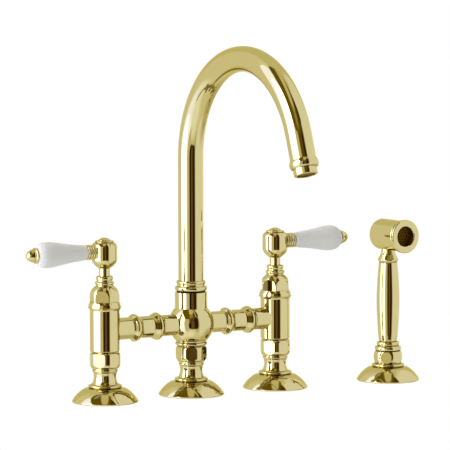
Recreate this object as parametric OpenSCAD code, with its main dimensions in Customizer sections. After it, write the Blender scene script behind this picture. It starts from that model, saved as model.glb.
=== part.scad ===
// Bridge kitchen mixer with a swan-neck spout, two lever valves and a side rinse.
// The origin is on the deck, on the axis of the centre leg; the spout reaches towards -Y.

/* [Layout] */
// Distance between neighbouring leg axes
leg_pitch = 101.6; // [92:0.1:130]
// Distance of the rinse axis to the right of the centre leg
spray_x = 233.5; // [190:0.5:320]
// Distance of the rinse axis behind the legs, negative in front
spray_y = -13.7; // [-60:0.1:60]
// Radial gap between parts that fit in one another
fit = 0.1; // [0.05:0.01:0.15]
// Radial gap of parts that turn or slide in one another
run = 0.05; // [0.03:0.01:0.09]
// Gap under the faces of parts that turn
float = 0.15; // [0.1:0.01:0.3]
// Width of the groove of a sealing ring, as a multiple of its thickness
groove_share = 1.2; // [1.1:0.05:1.3]

/* [Deck flanges] */
// Largest radius of a leg flange
flange_r = 34; // [32:0.1:40]
// Largest radius of the rinse flange
spray_flange_r = 33.3; // [32:0.1:40]
// Height of the rim
rim_h = 1.3; // [0.8:0.1:2.4]
// Height of the dome above the rim
dome_h = 13; // [11:0.1:18]
// Radius of the outline of the dome
dome_arc = 33; // [26:1:60]
// Radius at the top of the dome
dome_top_r = 20.4; // [19:0.1:23]
// Height of the cove between dome and bead
cove_h = 0.7; // [0.3:0.1:2]
// Radius of the bead on the flange
flange_bead_r = 17.3; // [16.5:0.1:18.5]
// Height of the bead on the flange
flange_bead_h = 3.4; // [2:0.1:6]
// Depth of the bead from its crown to its roots
flange_bead_d = 1.6; // [0.8:0.1:2.4]
// Height of the lip on the bead
flange_lip_h = 0.6; // [0.3:0.1:1]
// Width of the lip around the pillar
flange_lip_w = 2; // [1:0.1:3]
// Thickness of the flange shell
flange_wall = 2.4; // [1.6:0.1:3.2]
// Inner radius of the land that rests on the deck
land_r = 27.5; // [25:0.1:28.5]
// Inner radius of the sealing ring under a flange
gasket_r = 29; // [28.6:0.1:29.5]
// Width of the sealing ring
gasket_w = 2.2; // [1.5:0.1:2.4]
// Thickness of the sealing ring
gasket_t = 1.5; // [0.8:0.1:2.2]

/* [Pillars] */
// Radius of the shank that passes through the flange
shank_r = 12.5; // [12:0.1:13]
// Radius of the foot on the flange
foot_r = 13.6; // [13.2:0.1:14.4]
// Smallest radius of the neck
waist_r = 11.5; // [10.5:0.1:12.4]
// Height from the foot to the waist
waist_h = 7.4; // [5:0.1:14]
// Height from the waist to the collar
flare_h = 5.7; // [4:0.1:12]
// Radius of the collar
collar_r = 12.9; // [12.6:0.1:13.4]
// Height of the collar
collar_h = 1.8; // [1:0.1:4]
// Radius of the groove under the nut
groove_r = 12.2; // [11.6:0.1:12.5]
// Height of the groove under the nut
groove_h = 1.3; // [0.6:0.1:3]
// Radius of the threaded socket for the supply tail
inlet_r = 9.3; // [8.4:0.05:9.6]
// Depth of the threaded socket
inlet_l = 15; // [12:0.5:18]
// Radius of the waterway
waterway_r = 6.5; // [5:0.1:7]

/* [Union nuts] */
// Radius of the thread on top of a pillar
thread_r = 11.2; // [10.6:0.1:11.6]
// Length of the thread
thread_l = 8.9; // [7:0.1:14]
// Thickness of the sealing washer
washer_t = 1.5; // [1:0.1:3]
// Thickness of the flange on the tail
tail_t = 2.2; // [1.5:0.1:4]
// Radius of the neck of the tail
tail_neck_r = 9.7; // [9:0.1:10]
// Width across the flats of the nut
nut_af = 29.8; // [28.6:0.1:31.6]
// Number of flats of the nut
nut_flats = 6; // [6:2:8]
// Radius to which the corners are turned down
nut_turned_r = 15.9; // [15.4:0.1:17]
// Height of the rounding at the foot of the nut
nut_foot_h = 4; // [2:0.1:5]
// Radius that this rounding takes off
nut_foot_w = 1.9; // [1:0.1:3]
// Height of the rounding at the top of the nut
nut_round_h = 2.5; // [1.5:0.1:4]
// Radius that this rounding takes off
nut_round_w = 1.5; // [0.8:0.1:3]
// Thickness of the lip that pulls on the tail
nut_lip_t = 3.3; // [2:0.1:5]
// Gap between the nut and the body above it
nut_gap = 1; // [0.6:0.1:2]
// Angles of the corners of the three nuts
nut_angles = [10, 31, 4]; // [0:1:60]

/* [Valve bodies] */
// Radius of the body
body_r = 15.25; // [14.8:0.05:16.4]
// Height of the rounding at the base of the body
body_foot_h = 1.2; // [0.6:0.1:2]
// Radius that this rounding takes off
body_foot_w = 1; // [0.5:0.1:2]
// Height from the base of the body to the bridge axis
arm_rise = 21.8; // [20:0.1:30]
// Height from the bridge axis to the flared rim
body_rise = 19.9; // [18:0.1:30]
// Radius of the flared rim
body_rim_r = 17.1; // [16.6:0.1:19]
// Height of the flare under the rim
body_flare_h = 3; // [2:0.1:5]
// Height of the rim
body_rim_h = 0.7; // [0.4:0.1:2]
// Height of the cone above the rim
body_cone_h = 5.4; // [4.8:0.1:8]
// Width of the step between the rim and the cone
body_step = 0.4; // [0.2:0.1:0.8]
// Radius at the top of the cone
body_top_r = 14.9; // [14.4:0.1:16]
// Radius of the valve chamber
chamber_r = 10; // [9.7:0.1:10.6]
// Height of the chamber floor below the bridge axis
seat_drop = 11.4; // [11:0.1:12.5]

/* [Cartridges] */
// Thickness of the seal under a cartridge
seal_t = 2; // [1.4:0.1:2.4]
// Inner radius of the seal under a cartridge
seal_bore_r = 5.2; // [4.5:0.1:6.4]
// Radius of the ceramic discs
disc_r = 8.2; // [7.8:0.1:8.5]
// Thickness of a ceramic disc
disc_t = 2.5; // [2:0.1:2.8]
// Radius of the neck of a cartridge
cartridge_neck_r = 6.8; // [6.4:0.1:7.1]
// Radius of the outlet windows
window_r = 3.8; // [2.5:0.1:4]
// Wall of the cartridge above the window
window_roof = 1; // [0.6:0.1:2]
// Radius of the spindle in the cartridge
spindle_r = 4; // [3.4:0.1:4.4]
// Thickness of the driver on the spindle
driver_t = 1.6; // [1:0.1:2.5]

/* [Bonnets and glands] */
// Width across the flats of a bonnet
bonnet_af = 27; // [26:0.1:28.4]
// Height of a bonnet
bonnet_h = 16.2; // [14:0.1:22]
// Height of the straight flats before the bonnet is turned to a dome
bonnet_flat_h = 4.6; // [2:0.1:7]
// Radius at the top of a bonnet
bonnet_top_r = 9.2; // [8.8:0.1:10.6]
// Radius that is turned off the corners of a bonnet
bonnet_edge = 0.3; // [0.2:0.1:1]
// Radius of the threaded spigot in the body
bonnet_spigot_r = 12; // [11.4:0.1:12.4]
// Length of the spigot
bonnet_spigot_l = 8.2; // [6:0.1:9.2]
// Length of the gland spigot in the bonnet
gland_spigot_l = 6.4; // [4:0.1:8]
// Height of the gland neck
gland_neck_h = 1.2; // [0.8:0.1:3]
// Radius of the gland neck
gland_neck_r = 8.7; // [8.3:0.1:9.1]
// Radius of the lower bead of the gland
gland_bead_r = 9.9; // [9.4:0.1:11]
// Height of the lower bead
gland_bead_h = 3; // [2:0.1:5]
// Radius of the groove between the beads
gland_groove_r = 8.2; // [7.4:0.1:8.4]
// Height of the groove
gland_groove_h = 1.5; // [0.8:0.1:3]
// Radius of the upper bead of the gland
gland_top_r = 8.7; // [8.5:0.1:9.3]
// Height of the upper bead
gland_top_h = 4.4; // [3:0.1:7]
// Height of the lip on the gland
gland_lip_h = 0.8; // [0.4:0.1:1.2]
// Width of the step to that lip
gland_lip_w = 0.8; // [0.4:0.1:1.2]
// Corner angles of the left and the right bonnet
bonnet_angles = [19, 1]; // [0:1:60]

/* [Lever hubs] */
// Radius of the stem between gland and hub
stem_r = 5.5; // [5:0.1:5.8]
// Height of the stem that shows
stem_h = 7.5; // [4:0.1:14]
// Radius of a hub
hub_r = 13.1; // [12.6:0.1:14]
// Height of the bowl of the hub
bowl_h = 9.5; // [7.5:0.1:14]
// Width of the foot of the bowl around the stem
bowl_foot_w = 0.5; // [0.3:0.1:1.2]
// Height of the straight side of the hub
hub_side_h = 12; // [9:0.1:15]
// Height of the shoulder of the hub
hub_shoulder_h = 4.7; // [3.6:0.1:6]
// Radius at the top of the hub
hub_top_r = 10.3; // [9.8:0.1:11.5]
// Height of the lever axis above the bowl
lever_rise = 7.5; // [6:0.1:8]
// Radius of the head of the hub screw
screw_head_r = 4; // [3.2:0.1:4.6]
// Height of the head of the hub screw
screw_head_h = 2.8; // [2:0.1:3]
// Radius of the shank of the hub screw
screw_r = 1.9; // [1.5:0.1:2.1]
// Length of the hub screw in the spindle
screw_l = 9; // [6:0.5:12]
// Metal between the spindle and the rod of the lever
rod_web = 1.1; // [0.6:0.1:2]
// Radius of the plug of the cap
cap_plug_r = 7.4; // [6.6:0.1:8]
// Height of the plug of the cap
cap_plug_h = 3; // [2:0.1:3.2]
// Radius of the cap
cap_r = 9.8; // [9.2:0.1:11.4]
// Height of the cap
cap_h = 2.1; // [1.4:0.1:4]
// Height of the rounded edge of the cap
cap_round_h = 0.7; // [0.4:0.1:1.2]
// Width of the rounded edge of the cap
cap_round_w = 1.4; // [0.8:0.1:2.4]
// Rise of the cap towards its button
cap_slope_h = 0.2; // [0.1:0.1:0.6]
// Radius of the button on the cap
cap_button_r = 6.2; // [3.5:0.1:7]
// Height of the button on the cap
cap_button_h = 3; // [2:0.1:5]
// Radius at the top of the button
cap_button_top_r = 1.6; // [1:0.1:3]
// Radius of the dimple on the cap
cap_dimple_r = 0.9; // [0.5:0.1:1]
// Depth of the dimple
cap_dimple_h = 0.8; // [0.4:0.1:1.5]

/* [Levers] */
// Distance from the valve axis to the inner end of the porcelain
porcelain_start = 22; // [20:0.1:28]
// Distance along the porcelain to its widest point
porcelain_swell_l = 45; // [35:0.5:60]
// Distance from its widest point to its outer end
porcelain_round_l = 11.5; // [9:0.5:16]
// Radius of the porcelain at its inner end
porcelain_neck_r = 7.7; // [7:0.1:8.4]
// Largest radius of the porcelain
porcelain_r = 13.1; // [11:0.1:15]
// Radius of the porcelain at its outer end
porcelain_end_r = 7.5; // [6.6:0.1:8.5]
// Radius of the ferrule rings
ferrule_r = 7.7; // [7:0.1:8.4]
// Depth of the grooves between the ferrule rings
ferrule_groove = 1.2; // [0.4:0.1:1.4]
// Number of ferrule rings
ferrule_rings = 4; // [2:1:5]
// Distance between the ferrule rings
ferrule_pitch = 2.8; // [1.8:0.1:3]
// Radius of the finial ring
finial_r = 8; // [7.6:0.1:9]
// Thickness of the finial ring
finial_ring_h = 1.8; // [1.2:0.1:3]
// Depth of the round edge of the finial ring
finial_bead_d = 0.8; // [0.4:0.1:1.4]
// Radius of the acorn of the finial
acorn_r = 6.5; // [5.5:0.1:7.4]
// Length of the acorn of the finial
acorn_l = 9; // [6:0.1:14]
// Height of the straight foot of the acorn
acorn_foot_h = 0.6; // [0.3:0.1:1.5]
// Radius of the blunt tip of the acorn
acorn_tip_r = 0.8; // [0.4:0.1:1.5]
// Radius of the rod through the porcelain
rod_r = 3; // [2.4:0.1:3.4]
// Distance from the valve axis to the inner end of the rod
rod_start = 8; // [7:0.1:9.5]

/* [Bridge] */
// Distance from the centre axis to the end of a centre arm
centre_arm_l = 36; // [32:0.1:40]
// Radius of a centre arm
centre_arm_r = 10.8; // [9.8:0.1:11]
// Radius of a valve arm
valve_arm_r = 11.1; // [10.2:0.1:11.6]
// Length of a coupling
coupling_l = 37.1; // [32:0.1:40]
// Radius of a coupling between its beads
coupling_r = 11; // [10.4:0.1:11.6]
// Radius of the beads of a coupling
coupling_bead_r = 14.1; // [12:0.1:16]
// Distance from the end of a coupling to the crown of its bead
coupling_crown_at = 5.2; // [4.8:0.1:6]
// Length over which a bead rises from the end of a coupling
coupling_rise_l = 4.6; // [3.6:0.1:4.8]
// Length over which the left bead falls towards the middle
coupling_fall_l = 7.2; // [4:0.1:9]
// Length over which the right bead falls towards the middle
coupling_long_fall_l = 8.4; // [4:0.1:10]
// Radius of the tongues inside a coupling
tongue_r = 8.5; // [8.2:0.1:8.8]
// Length of a tongue
tongue_l = 11; // [9:0.1:14]
// Thickness of the sealing rings on the tongues
tongue_seal_t = 1.6; // [1.2:0.1:2]

/* [Centre body] */
// Radius of the ball
ball_r = 23.3; // [21.5:0.1:26]
// Radius of the bead under the ball
base_bead_r = 16.65; // [16.2:0.05:18]
// Height of the bead under the ball
base_bead_h = 3.4; // [2:0.1:4]
// Depth of the bead under the ball
base_bead_d = 1.6; // [0.8:0.1:2.4]
// Radius of the neck between bead and ball
base_neck_r = 15.9; // [15:0.1:16.1]
// Radius of the tower above the ball
tower_r = 16.7; // [16.4:0.1:18]
// Height of the top of the tower above the bridge axis
tower_rise = 32.9; // [31:0.1:44]

/* [Diverter] */
// Radius of the diverter chamber
diverter_r = 9; // [8.6:0.1:9.8]
// Height of the chamber floor below the bridge axis
diverter_drop = 19.4; // [18:0.1:20]
// Height of the chamber above the bridge axis
diverter_rise = 10.6; // [10:0.1:12]
// Radius of the ports in the diverter
port_r = 4.8; // [3:0.1:5]
// Travel of the diverter piston
piston_travel = 4; // [2:0.5:4.5]
// Radius of the piston stem
piston_stem_r = 2.2; // [1.6:0.1:2.6]
// Radius of the piston head
piston_head_r = 5.5; // [4.6:0.1:6]
// Radius of the diverter seat hole
diverter_seat_r = 3.5; // [2.5:0.1:4]
// Thickness of the floor of the diverter body
diverter_floor_t = 2.6; // [1.6:0.1:3.2]
// Wall of the diverter body
diverter_wall = 2; // [1.4:0.1:2.4]
// Thickness of the guide of the piston
guide_t = 1.8; // [1.2:0.1:3]
// Radius of the holes in the guide
guide_hole_r = 1.5; // [1:0.1:1.7]
// Thickness of the piston head
piston_head_t = 3; // [2:0.1:3.4]
// Height of the piston stem above the guide
piston_proud = 2; // [1:0.1:3]
// Depth of the spring seat under the ports
spring_seat_drop = 1.6; // [1:0.1:2]
// Thickness of the spring seat on the piston
spring_seat_t = 2; // [1.4:0.1:3]
// Width by which the seat stands out under the spring
spring_ledge = 0.4; // [0.2:0.1:0.8]
// Gap between the stem and the spring
spring_gap = 0.4; // [0.2:0.1:0.8]
// Width of the spring's turns
spring_wire = 2; // [1:0.1:2.2]

/* [Swivel] */
// Radius of the spigot under the spout
spigot_r = 13; // [12.6:0.1:13.2]
// Bore of the spigot
spigot_bore_r = 10.5; // [9:0.1:11]
// Wall of the swivel bush
bush_wall = 1.15; // [0.9:0.05:1.3]
// Length of the bush in the tower
bush_l = 18.3; // [14:0.1:19]
// Thickness of the flange of the bush
bush_flange_t = 1.2; // [0.8:0.1:3]
// Radius of the flange of the bush
bush_flange_r = 15.2; // [14.9:0.1:16]
// Height of the retaining ring
circlip_t = 1.3; // [0.8:0.1:2]
// Depth of the groove of the retaining ring
circlip_groove = 0.3; // [0.2:0.05:0.5]
// Radius by which the retaining ring stands proud
circlip_proud = 0.55; // [0.3:0.05:0.7]
// Width of the gap in the retaining ring
circlip_gap = 4; // [2:0.5:6]
// Height of the spigot under the retaining ring
spigot_lip_h = 0.5; // [0.3:0.1:1]
// Height of the sealing rings on the spigot
spout_seal_t = 1.4; // [1:0.1:2]
// Places of the sealing rings along the bush, from its foot
spout_seal_places = [0.3, 0.65]; // [0.2:0.05:0.8]

/* [Spout] */
// Outer radius of the spout tube
tube_r = 13; // [12:0.1:13.2]
// Wall of the spout tube
tube_wall = 1.2; // [0.8:0.1:1.6]
// Radius of the large bead at the foot of the spout
foot_bead_r = 16.7; // [16:0.1:18]
// Height of the large bead
foot_bead_h = 4.7; // [3:0.1:8]
// Radius of the groove above the large bead
foot_groove_r = 14.45; // [14.2:0.05:14.9]
// Height of the groove
foot_groove_h = 2.2; // [1:0.1:5]
// Radius of the small bead
foot_small_r = 15.1; // [14.9:0.1:16]
// Height of the small bead
foot_small_h = 3.7; // [2:0.1:6]
// Height of the lip on the small bead
foot_lip_h = 0.5; // [0.3:0.1:1]
// Width of the lip around the tube
foot_lip_w = 0.9; // [0.5:0.1:1.2]
// Height of the seat of the tube in the foot
tube_seat_h = 1.5; // [1:0.1:3]
// Height of the straight tube above the foot
spout_rise = 124.2; // [80:0.1:180]
// Radius of the centreline of the bend
bend_r = 106.9; // [80:0.1:130]
// Angle of the bend
bend_angle = 160.9; // [140:0.1:172]
// Length of the straight tube after the bend
spout_end_l = 23; // [8:0.5:50]
// Radius of the ring at the outlet
outlet_ring_r = 14.7; // [14.3:0.1:16]
// Width of the ring at the outlet
outlet_ring_w = 9; // [6:0.1:15]
// Width of the lips beside the bead of the ring
outlet_lip = 0.5; // [0.3:0.1:2]
// Step from the tube up to the ring
outlet_step = 0.2; // [0.1:0.1:0.6]
// Step from the ring down to the housing
outlet_edge = 0.6; // [0.3:0.1:1]
// Radius of the aerator housing
aerator_r = 11.9; // [11.4:0.1:12.6]
// Length of the aerator housing that shows
aerator_l = 6.8; // [6:0.1:14]
// Wall of the housing at the outlet
aerator_wall = 1.5; // [1:0.1:2]
// Length of the thread inside the ring
aerator_thread_l = 6; // [4:0.5:10]
// Height of the rounded edge of the housing
aerator_round_h = 1; // [0.5:0.1:2]
// Width of the rounded edge of the housing
aerator_round_w = 0.8; // [0.4:0.1:1.2]
// Radius of the aerator insert
insert_r = 9.2; // [8:0.1:10]
// Depth of the insert in the housing
insert_recess = 1.8; // [0.8:0.1:3]
// Height of the ledge that the insert rests on
insert_ledge_h = 1; // [0.6:0.1:2]
// Width of that ledge
insert_ledge_w = 1.2; // [0.8:0.1:2]
// Wall of the insert
insert_wall = 2; // [1.2:0.1:3]
// Thickness of the floor of the insert
insert_floor_t = 1.5; // [1:0.1:2]
// Radius of the holes in the insert
insert_hole_r = 0.6; // [0.4:0.1:0.8]
// Distance between the rings of holes in the insert
insert_hole_pitch = 2.3; // [2:0.1:2.5]
// Number of rings of holes in the insert
insert_rings = 3; // [1:1:4]

/* [Rinse holder] */
// Radius of the threaded socket under the holder
holder_inlet_r = 12; // [11:0.1:12.2]
// Depth of the socket
holder_inlet_l = 9; // [6:0.5:10]
// Radius of the boss inside the flange
holder_boss_r = 14; // [13.8:0.1:15]
// Radius of the holder tube
holder_tube_r = 12.6; // [12.3:0.1:13]
// Bore of the holder tube
holder_bore_r = 11; // [10.6:0.1:11.2]
// Thickness of the ledge under the liner
ledge_t = 1.5; // [1:0.1:2.5]
// Width of the ledge under the liner
ledge_w = 1.4; // [1:0.1:2]
// Height of the holder tube above the flange
holder_tube_h = 10.6; // [8:0.1:16]
// Largest radius of the barrel nut
barrel_r = 15; // [14.6:0.1:16]
// Width across the flats of the barrel nut
barrel_af = 27.7; // [27.2:0.1:28.8]
// Number of flats of the barrel nut
barrel_flats = 6; // [6:2:8]
// Depth of the bulge of the barrel nut
barrel_bulge = 1.2; // [0.8:0.1:1.6]
// Angle of the flats of the barrel nut
barrel_angle = 18; // [0:1:60]
// Thickness of the top of the barrel nut
barrel_lip_t = 2; // [1:0.1:4]
// Wall of the liner
liner_wall = 1.8; // [1.4:0.1:2.2]
// Thickness of the flange of the liner
liner_flange_t = 0.4; // [0.3:0.1:1.5]
// Radius of the flange of the liner
liner_flange_r = 12.6; // [12:0.1:13.6]

/* [Rinse handset] */
// Length of the spigot in the holder
plug_l = 20; // [14:0.5:20.5]
// Chamfer at the foot of the spigot
plug_chamfer = 1; // [0.5:0.1:2]
// Radius of the threaded hose socket
hose_r = 6.95; // [6.2:0.05:7.3]
// Depth of the hose socket
hose_l = 9; // [7:0.5:12]
// Radius of the waterway of the handset
handset_bore_r = 5; // [3.5:0.1:5.2]
// Radius of the first collar
base_r = 14.1; // [13.4:0.1:15.5]
// Height of the first collar
base_h = 5; // [3:0.1:8]
// Depth of the bulge of the first collar
base_bulge = 1; // [0.5:0.1:2]
// Height of the lip on the first collar
base_lip_h = 0.6; // [0.3:0.1:1.2]
// Radius of the second collar
second_r = 12.1; // [11.4:0.1:13]
// Height of the second collar
second_h = 4.6; // [3:0.1:8]
// Depth of the bulge of the second collar
second_bulge = 0.9; // [0.5:0.1:2]
// Height of the lips beside the bulge
second_lip_h = 0.4; // [0.2:0.1:1]
// Radius of the joints of the grip
joint_r = 7.5; // [6.8:0.1:7.8]
// Length of the joints of the grip
joint_l = 10; // [6:0.5:14]
// Radius of the grip at its ends
grip_end_r = 9.8; // [9.2:0.1:11]
// Largest radius of the grip
grip_r = 12.1; // [10.5:0.1:14]
// Length of the grip
grip_l = 83.9; // [60:0.1:110]
// Chamfer at the ends of the grip
grip_edge = 0.8; // [0.4:0.1:1.5]
// Radius of the collar under the head
top_collar_r = 10.9; // [10.4:0.1:12.6]
// Height of the collar under the head
top_collar_h = 4.4; // [3:0.1:8]
// Radius of the neck under the head
neck_r = 7.2; // [6.8:0.1:9.6]
// Height of the lip under the collar
top_lip_h = 0.8; // [0.3:0.1:1.2]
// Radius of that lip, and of the foot of the flare above the collar
top_lip_r = 9.7; // [9:0.1:10.2]
// Height of the head axis above the grip
head_rise = 29.1; // [28:0.1:40]
// Radius of the head
head_r = 16.2; // [15.2:0.1:17]
// Length of the head behind the grip axis
head_back = 14.4; // [12.5:0.1:20]
// Length of the head in front of the grip axis
head_front = 25.5; // [24:0.1:32]
// Radius of the rounded back edge
head_round = 5; // [2:0.1:6]
// Wall of the water chamber in the head
head_wall = 5; // [3:0.1:6]
// Distance from the grip axis forwards to the valve seat
seat_start = 6; // [4:0.5:8]
// Thickness of the valve seat
seat_l = 3; // [2:0.1:4]
// Radius of the hole in the valve seat
seat_hole_r = 4; // [3:0.1:5]
// Radius of the valve of the handset
valve_r = 6; // [5:0.1:7]
// Thickness of the valve of the handset
valve_t = 2.5; // [2:0.1:3.5]
// Length of the spigot that carries the face ring
head_spigot_l = 3; // [2:0.1:3.6]
// Wall of that spigot
head_spigot_wall = 1.5; // [1:0.1:2]
// Angle by which the head turns from straight ahead
head_turn = 4; // [-30:1:30]
// Radius of the face ring
face_r = 17.65; // [17:0.05:20]
// Thickness of the face ring
face_t = 4.3; // [3:0.1:7]
// Width of the groove behind the face ring
face_groove_w = 0.7; // [0.4:0.1:2]
// Depth of the groove behind the face ring
face_groove_d = 1.2; // [0.6:0.1:2]
// Chamfer at the back of the face ring
face_edge = 0.6; // [0.3:0.1:1]
// Depth of the rounded front edge of the face ring
face_round = 0.9; // [0.5:0.1:1.5]
// Wall of the sleeve of the face ring
face_sleeve_t = 1.2; // [0.8:0.1:2]
// Radius of the opening in the face
face_opening_r = 10.6; // [9.6:0.1:11.2]
// Depth from the face to the spray plate
plate_recess = 8.5; // [7.5:0.1:9.5]
// Thickness of the spray plate
plate_t = 2.5; // [1.5:0.1:3]
// Width of the ledge behind the spray plate
plate_ledge = 0.8; // [0.5:0.1:1.5]
// Radius of the spray holes
jet_r = 0.7; // [0.4:0.1:0.9]
// Number of holes in the rings of the spray plate
jet_counts = [1, 6, 12]; // [1:1:16]
// Distance between the rings of holes
jet_pitch = 3.4; // [3:0.1:4]
// Radius of the press button
button_r = 6.5; // [5:0.1:7.5]
// Height of the press button outside the head
button_proud = 4.5; // [3.6:0.1:7]
// Travel of the press button
button_travel = 3; // [1:0.5:3]
// Distance from the grip axis back to the floor of the button's bore
button_floor = 9; // [7:0.5:10]
// Radius of the stem of the button
button_stem_r = 2; // [1.5:0.1:2.5]
// Length of the guide of the stem
button_guide_l = 3.5; // [2:0.1:5]
// Radius of the rounded edge of the button
button_round = 1.5; // [0.8:0.1:2.5]
// Outer radius of the spring in the head
head_spring_r = 4.2; // [3.6:0.1:5]
// Width of the turns of that spring
head_spring_wire = 1.2; // [0.8:0.1:1.6]

/* [Hidden] */
cut = 1;
$fn = 64;
turn_steps = 6;

// Heights above the deck, from the bottom up
dome_z = rim_h + dome_h;
flange_h = dome_z + cove_h + flange_bead_h;
waist_z = flange_h + waist_h;
collar_z = waist_z + flare_h;
nut_z = collar_z + collar_h + groove_h;
washer_z = nut_z + thread_l;
tail_z = washer_z + washer_t;
tail_top = tail_z + tail_t;
nut_top = tail_top + fit + nut_lip_t;
body_z = nut_top + nut_gap;
bridge_z = body_z + arm_rise;
rim_z = bridge_z + body_rise + body_flare_h;
body_top = rim_z + body_rim_h + body_cone_h;
bonnet_top = body_top + bonnet_h;
gland_z = bonnet_top - gland_spigot_l;
gland_top = bonnet_top + gland_neck_h + gland_bead_h + gland_groove_h + gland_top_h;
hub_z = gland_top + stem_h;
side_z = hub_z + bowl_h;
lever_z = side_z + lever_rise;
hub_top = side_z + hub_side_h + hub_shoulder_h;

// Valve insides
seat_z = bridge_z - seat_drop;
disc_z = seat_z + seal_t;
moving_z = disc_z + disc_t + float / 3;
driver_z = moving_z + disc_t;
chamber_top = body_top - bonnet_spigot_l;
cartridge_r = chamber_r - fit;
sleeve_r = disc_r + fit;
sleeve_top = bridge_z + window_r + window_roof;
cartridge_top = gland_z - float;
tail_r = thread_r - fit;
spindle_top = lever_z - rod_r - rod_web;
screw_bottom = spindle_top - screw_l;
plug_z = hub_top - cap_plug_h;
screw_head_z = plug_z - screw_head_h - float;

// Bridge
coupling_bore = tongue_r + fit;
coupling_end = centre_arm_l + coupling_l;
valve_arm_l = leg_pitch - coupling_end;

// Centre body, swivel and spout
swivel_z = bridge_z + tower_rise;
bush_z = swivel_z - bush_l;
bush_r = spigot_r + run + bush_wall;
foot_z = swivel_z + bush_flange_t + float;
spigot_z = bush_z - circlip_t - 2 * float - spigot_lip_h;
seal_heights = [for (place = spout_seal_places) bush_z + bush_l * place];
foot_top = foot_z + foot_bead_h + foot_groove_h + foot_small_h;
tube_z = foot_z + tube_seat_h;
bend_z = foot_top + spout_rise;
outlet_bore = aerator_r - aerator_wall;
aerator_z = spout_end_l + outlet_ring_w;
chamber_floor = bridge_z - diverter_drop;
diverter_top = bridge_z + diverter_rise;
guide_z = diverter_top - guide_t - fit;
spring_seat_z = bridge_z - port_r - spring_seat_drop;
spring_r = piston_stem_r + spring_gap + spring_wire;

// Rinse
holder_top = flange_h + holder_tube_h;
barrel_top = holder_top + fit + barrel_lip_t;
ledge_z = holder_inlet_l + ledge_t;
ledge_r = holder_bore_r - ledge_w;
liner_r = holder_bore_r - fit;
liner_bore = liner_r - liner_wall;
plug_r = liner_bore - fit;
base_z = barrel_top + fit + liner_flange_t + fit;
plug_foot = base_z - plug_l;
second_z = base_z + base_h;
grip_z = second_z + second_h;
grip_top = grip_z + grip_l;
head_z = grip_top + head_rise;
face_back = head_front + face_groove_w;
face_front = face_back + face_t;
plate_front = face_front - plate_recess;
plate_r = face_opening_r + face_sleeve_t;
head_chamber_r = plate_r + fit;
head_spigot_r = plate_r + head_spigot_wall;
head_spigot_z = head_front + head_spigot_l;
joint_bore = joint_r + fit;
guide_front = button_guide_l - button_floor;
seat_front = seat_start + seat_l;
valve_z = seat_front + fit;
button_front = -button_floor - button_travel - float;

gold = [0.83, 0.71, 0.36];
white = [0.95, 0.95, 0.93];
black = [0.12, 0.12, 0.12];
steel = [0.7, 0.7, 0.7];
nylon = [0.85, 0.84, 0.8];

// Outline stretches, each a list of [radius, height]
function ease_out(p, q, n = turn_steps) =
  [for (i = [0:n]) [p.x + (q.x - p.x) * sin(90 * i / n), p.y + (q.y - p.y) * i / n]];
function ease_in(p, q, n = turn_steps) =
  [for (i = [0:n]) [p.x + (q.x - p.x) * (1 - cos(90 * i / n)), p.y + (q.y - p.y) * i / n]];
function ease_both(p, q, n = 2 * turn_steps) =
  [for (i = [0:n]) [p.x + (q.x - p.x) * (1 - cos(180 * i / n)) / 2, p.y + (q.y - p.y) * i / n]];
// Arc from p to q of radius r, with its centre on the left of the way
function arc(p, q, r, n = turn_steps) =
  let (
    d = norm(q - p),
    rr = max(r, d / 2),
    h = sqrt(rr * rr - d * d / 4),
    c = (p + q) / 2 + [-(q.y - p.y), q.x - p.x] / d * h,
    a = atan2(p.y - c.y, p.x - c.x),
    sweep = 2 * asin(d / 2 / rr)
  )
  [for (i = [0:n]) c + rr * [cos(a + sweep * i / n), sin(a + sweep * i / n)]];
// Quarter-like arc that starts upright at p and ends at q
function shoulder(p, q, n = turn_steps) =
  let (dx = abs(p.x - q.x), dy = abs(q.y - p.y))
  arc(p, q, (dx * dx + dy * dy) / (2 * min(dx, dy)), n);
// Round bead on a shaft of radius root
function bead(root, r, z0, z1, n = turn_steps) =
  let (s = r - root, h = (z1 - z0) / 2, rho = (h * h + s * s) / (2 * s), a = atan2(h, rho - s))
  [for (i = [0:n], t = a * (2 * i / n - 1)) [r - rho + rho * cos(t), (z0 + z1) / 2 + rho * sin(t)]];

// Solid turned about the Z axis from an outline that starts and ends off the axis
module turned(outline) {
  rotate_extrude() polygon(concat([[0, outline[0].y]], outline, [[0, outline[len(outline) - 1].y]]));
}
module bore(r, z0, z1) {
  translate([0, 0, z0]) cylinder(r = r, h = z1 - z0);
}
module tube(r, inner_r, z0, z1) {
  difference() {
    bore(r, z0, z1);
    bore(inner_r, z0 - cut, z1 + cut);
  }
}
module seal_ring(outer_r, t, z) {
  translate([0, 0, z]) rotate_extrude() translate([outer_r - t / 2, 0]) circle(r = t / 2, $fn = 24);
}
module prism(across_flats, sides, z0, z1) {
  translate([0, 0, z0]) cylinder(r = across_flats / 2 / cos(180 / sides), h = z1 - z0, $fn = sides);
}
module at_leg(side) {
  translate([side * leg_pitch, 0, 0]) children();
}
module at_spray() {
  translate([spray_x, spray_y, 0]) children();
}
// Frame of an arm: its Z runs along +X at the height of the bridge
module along_bridge() {
  translate([0, 0, bridge_z]) rotate([0, 90, 0]) children();
}
// Frame of a lever: its Z runs away from the valve axis, to side +1 or -1
module along_lever(side) {
  at_leg(side) translate([0, 0, lever_z]) rotate([0, side * 90, 0]) children();
}
// Frame of the spout outlet: its Z runs with the water
module at_outlet() {
  translate([0, -bend_r * (1 - cos(bend_angle)), bend_z + bend_r * sin(bend_angle)])
    rotate([bend_angle, 0, 0]) children();
}
// Frame of the handset, and of its head, whose Z runs forwards
module at_handset() {
  at_spray() rotate([0, 0, head_turn]) children();
}
module along_head() {
  at_handset() translate([0, 0, head_z]) rotate([90, 0, 0]) children();
}

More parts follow.
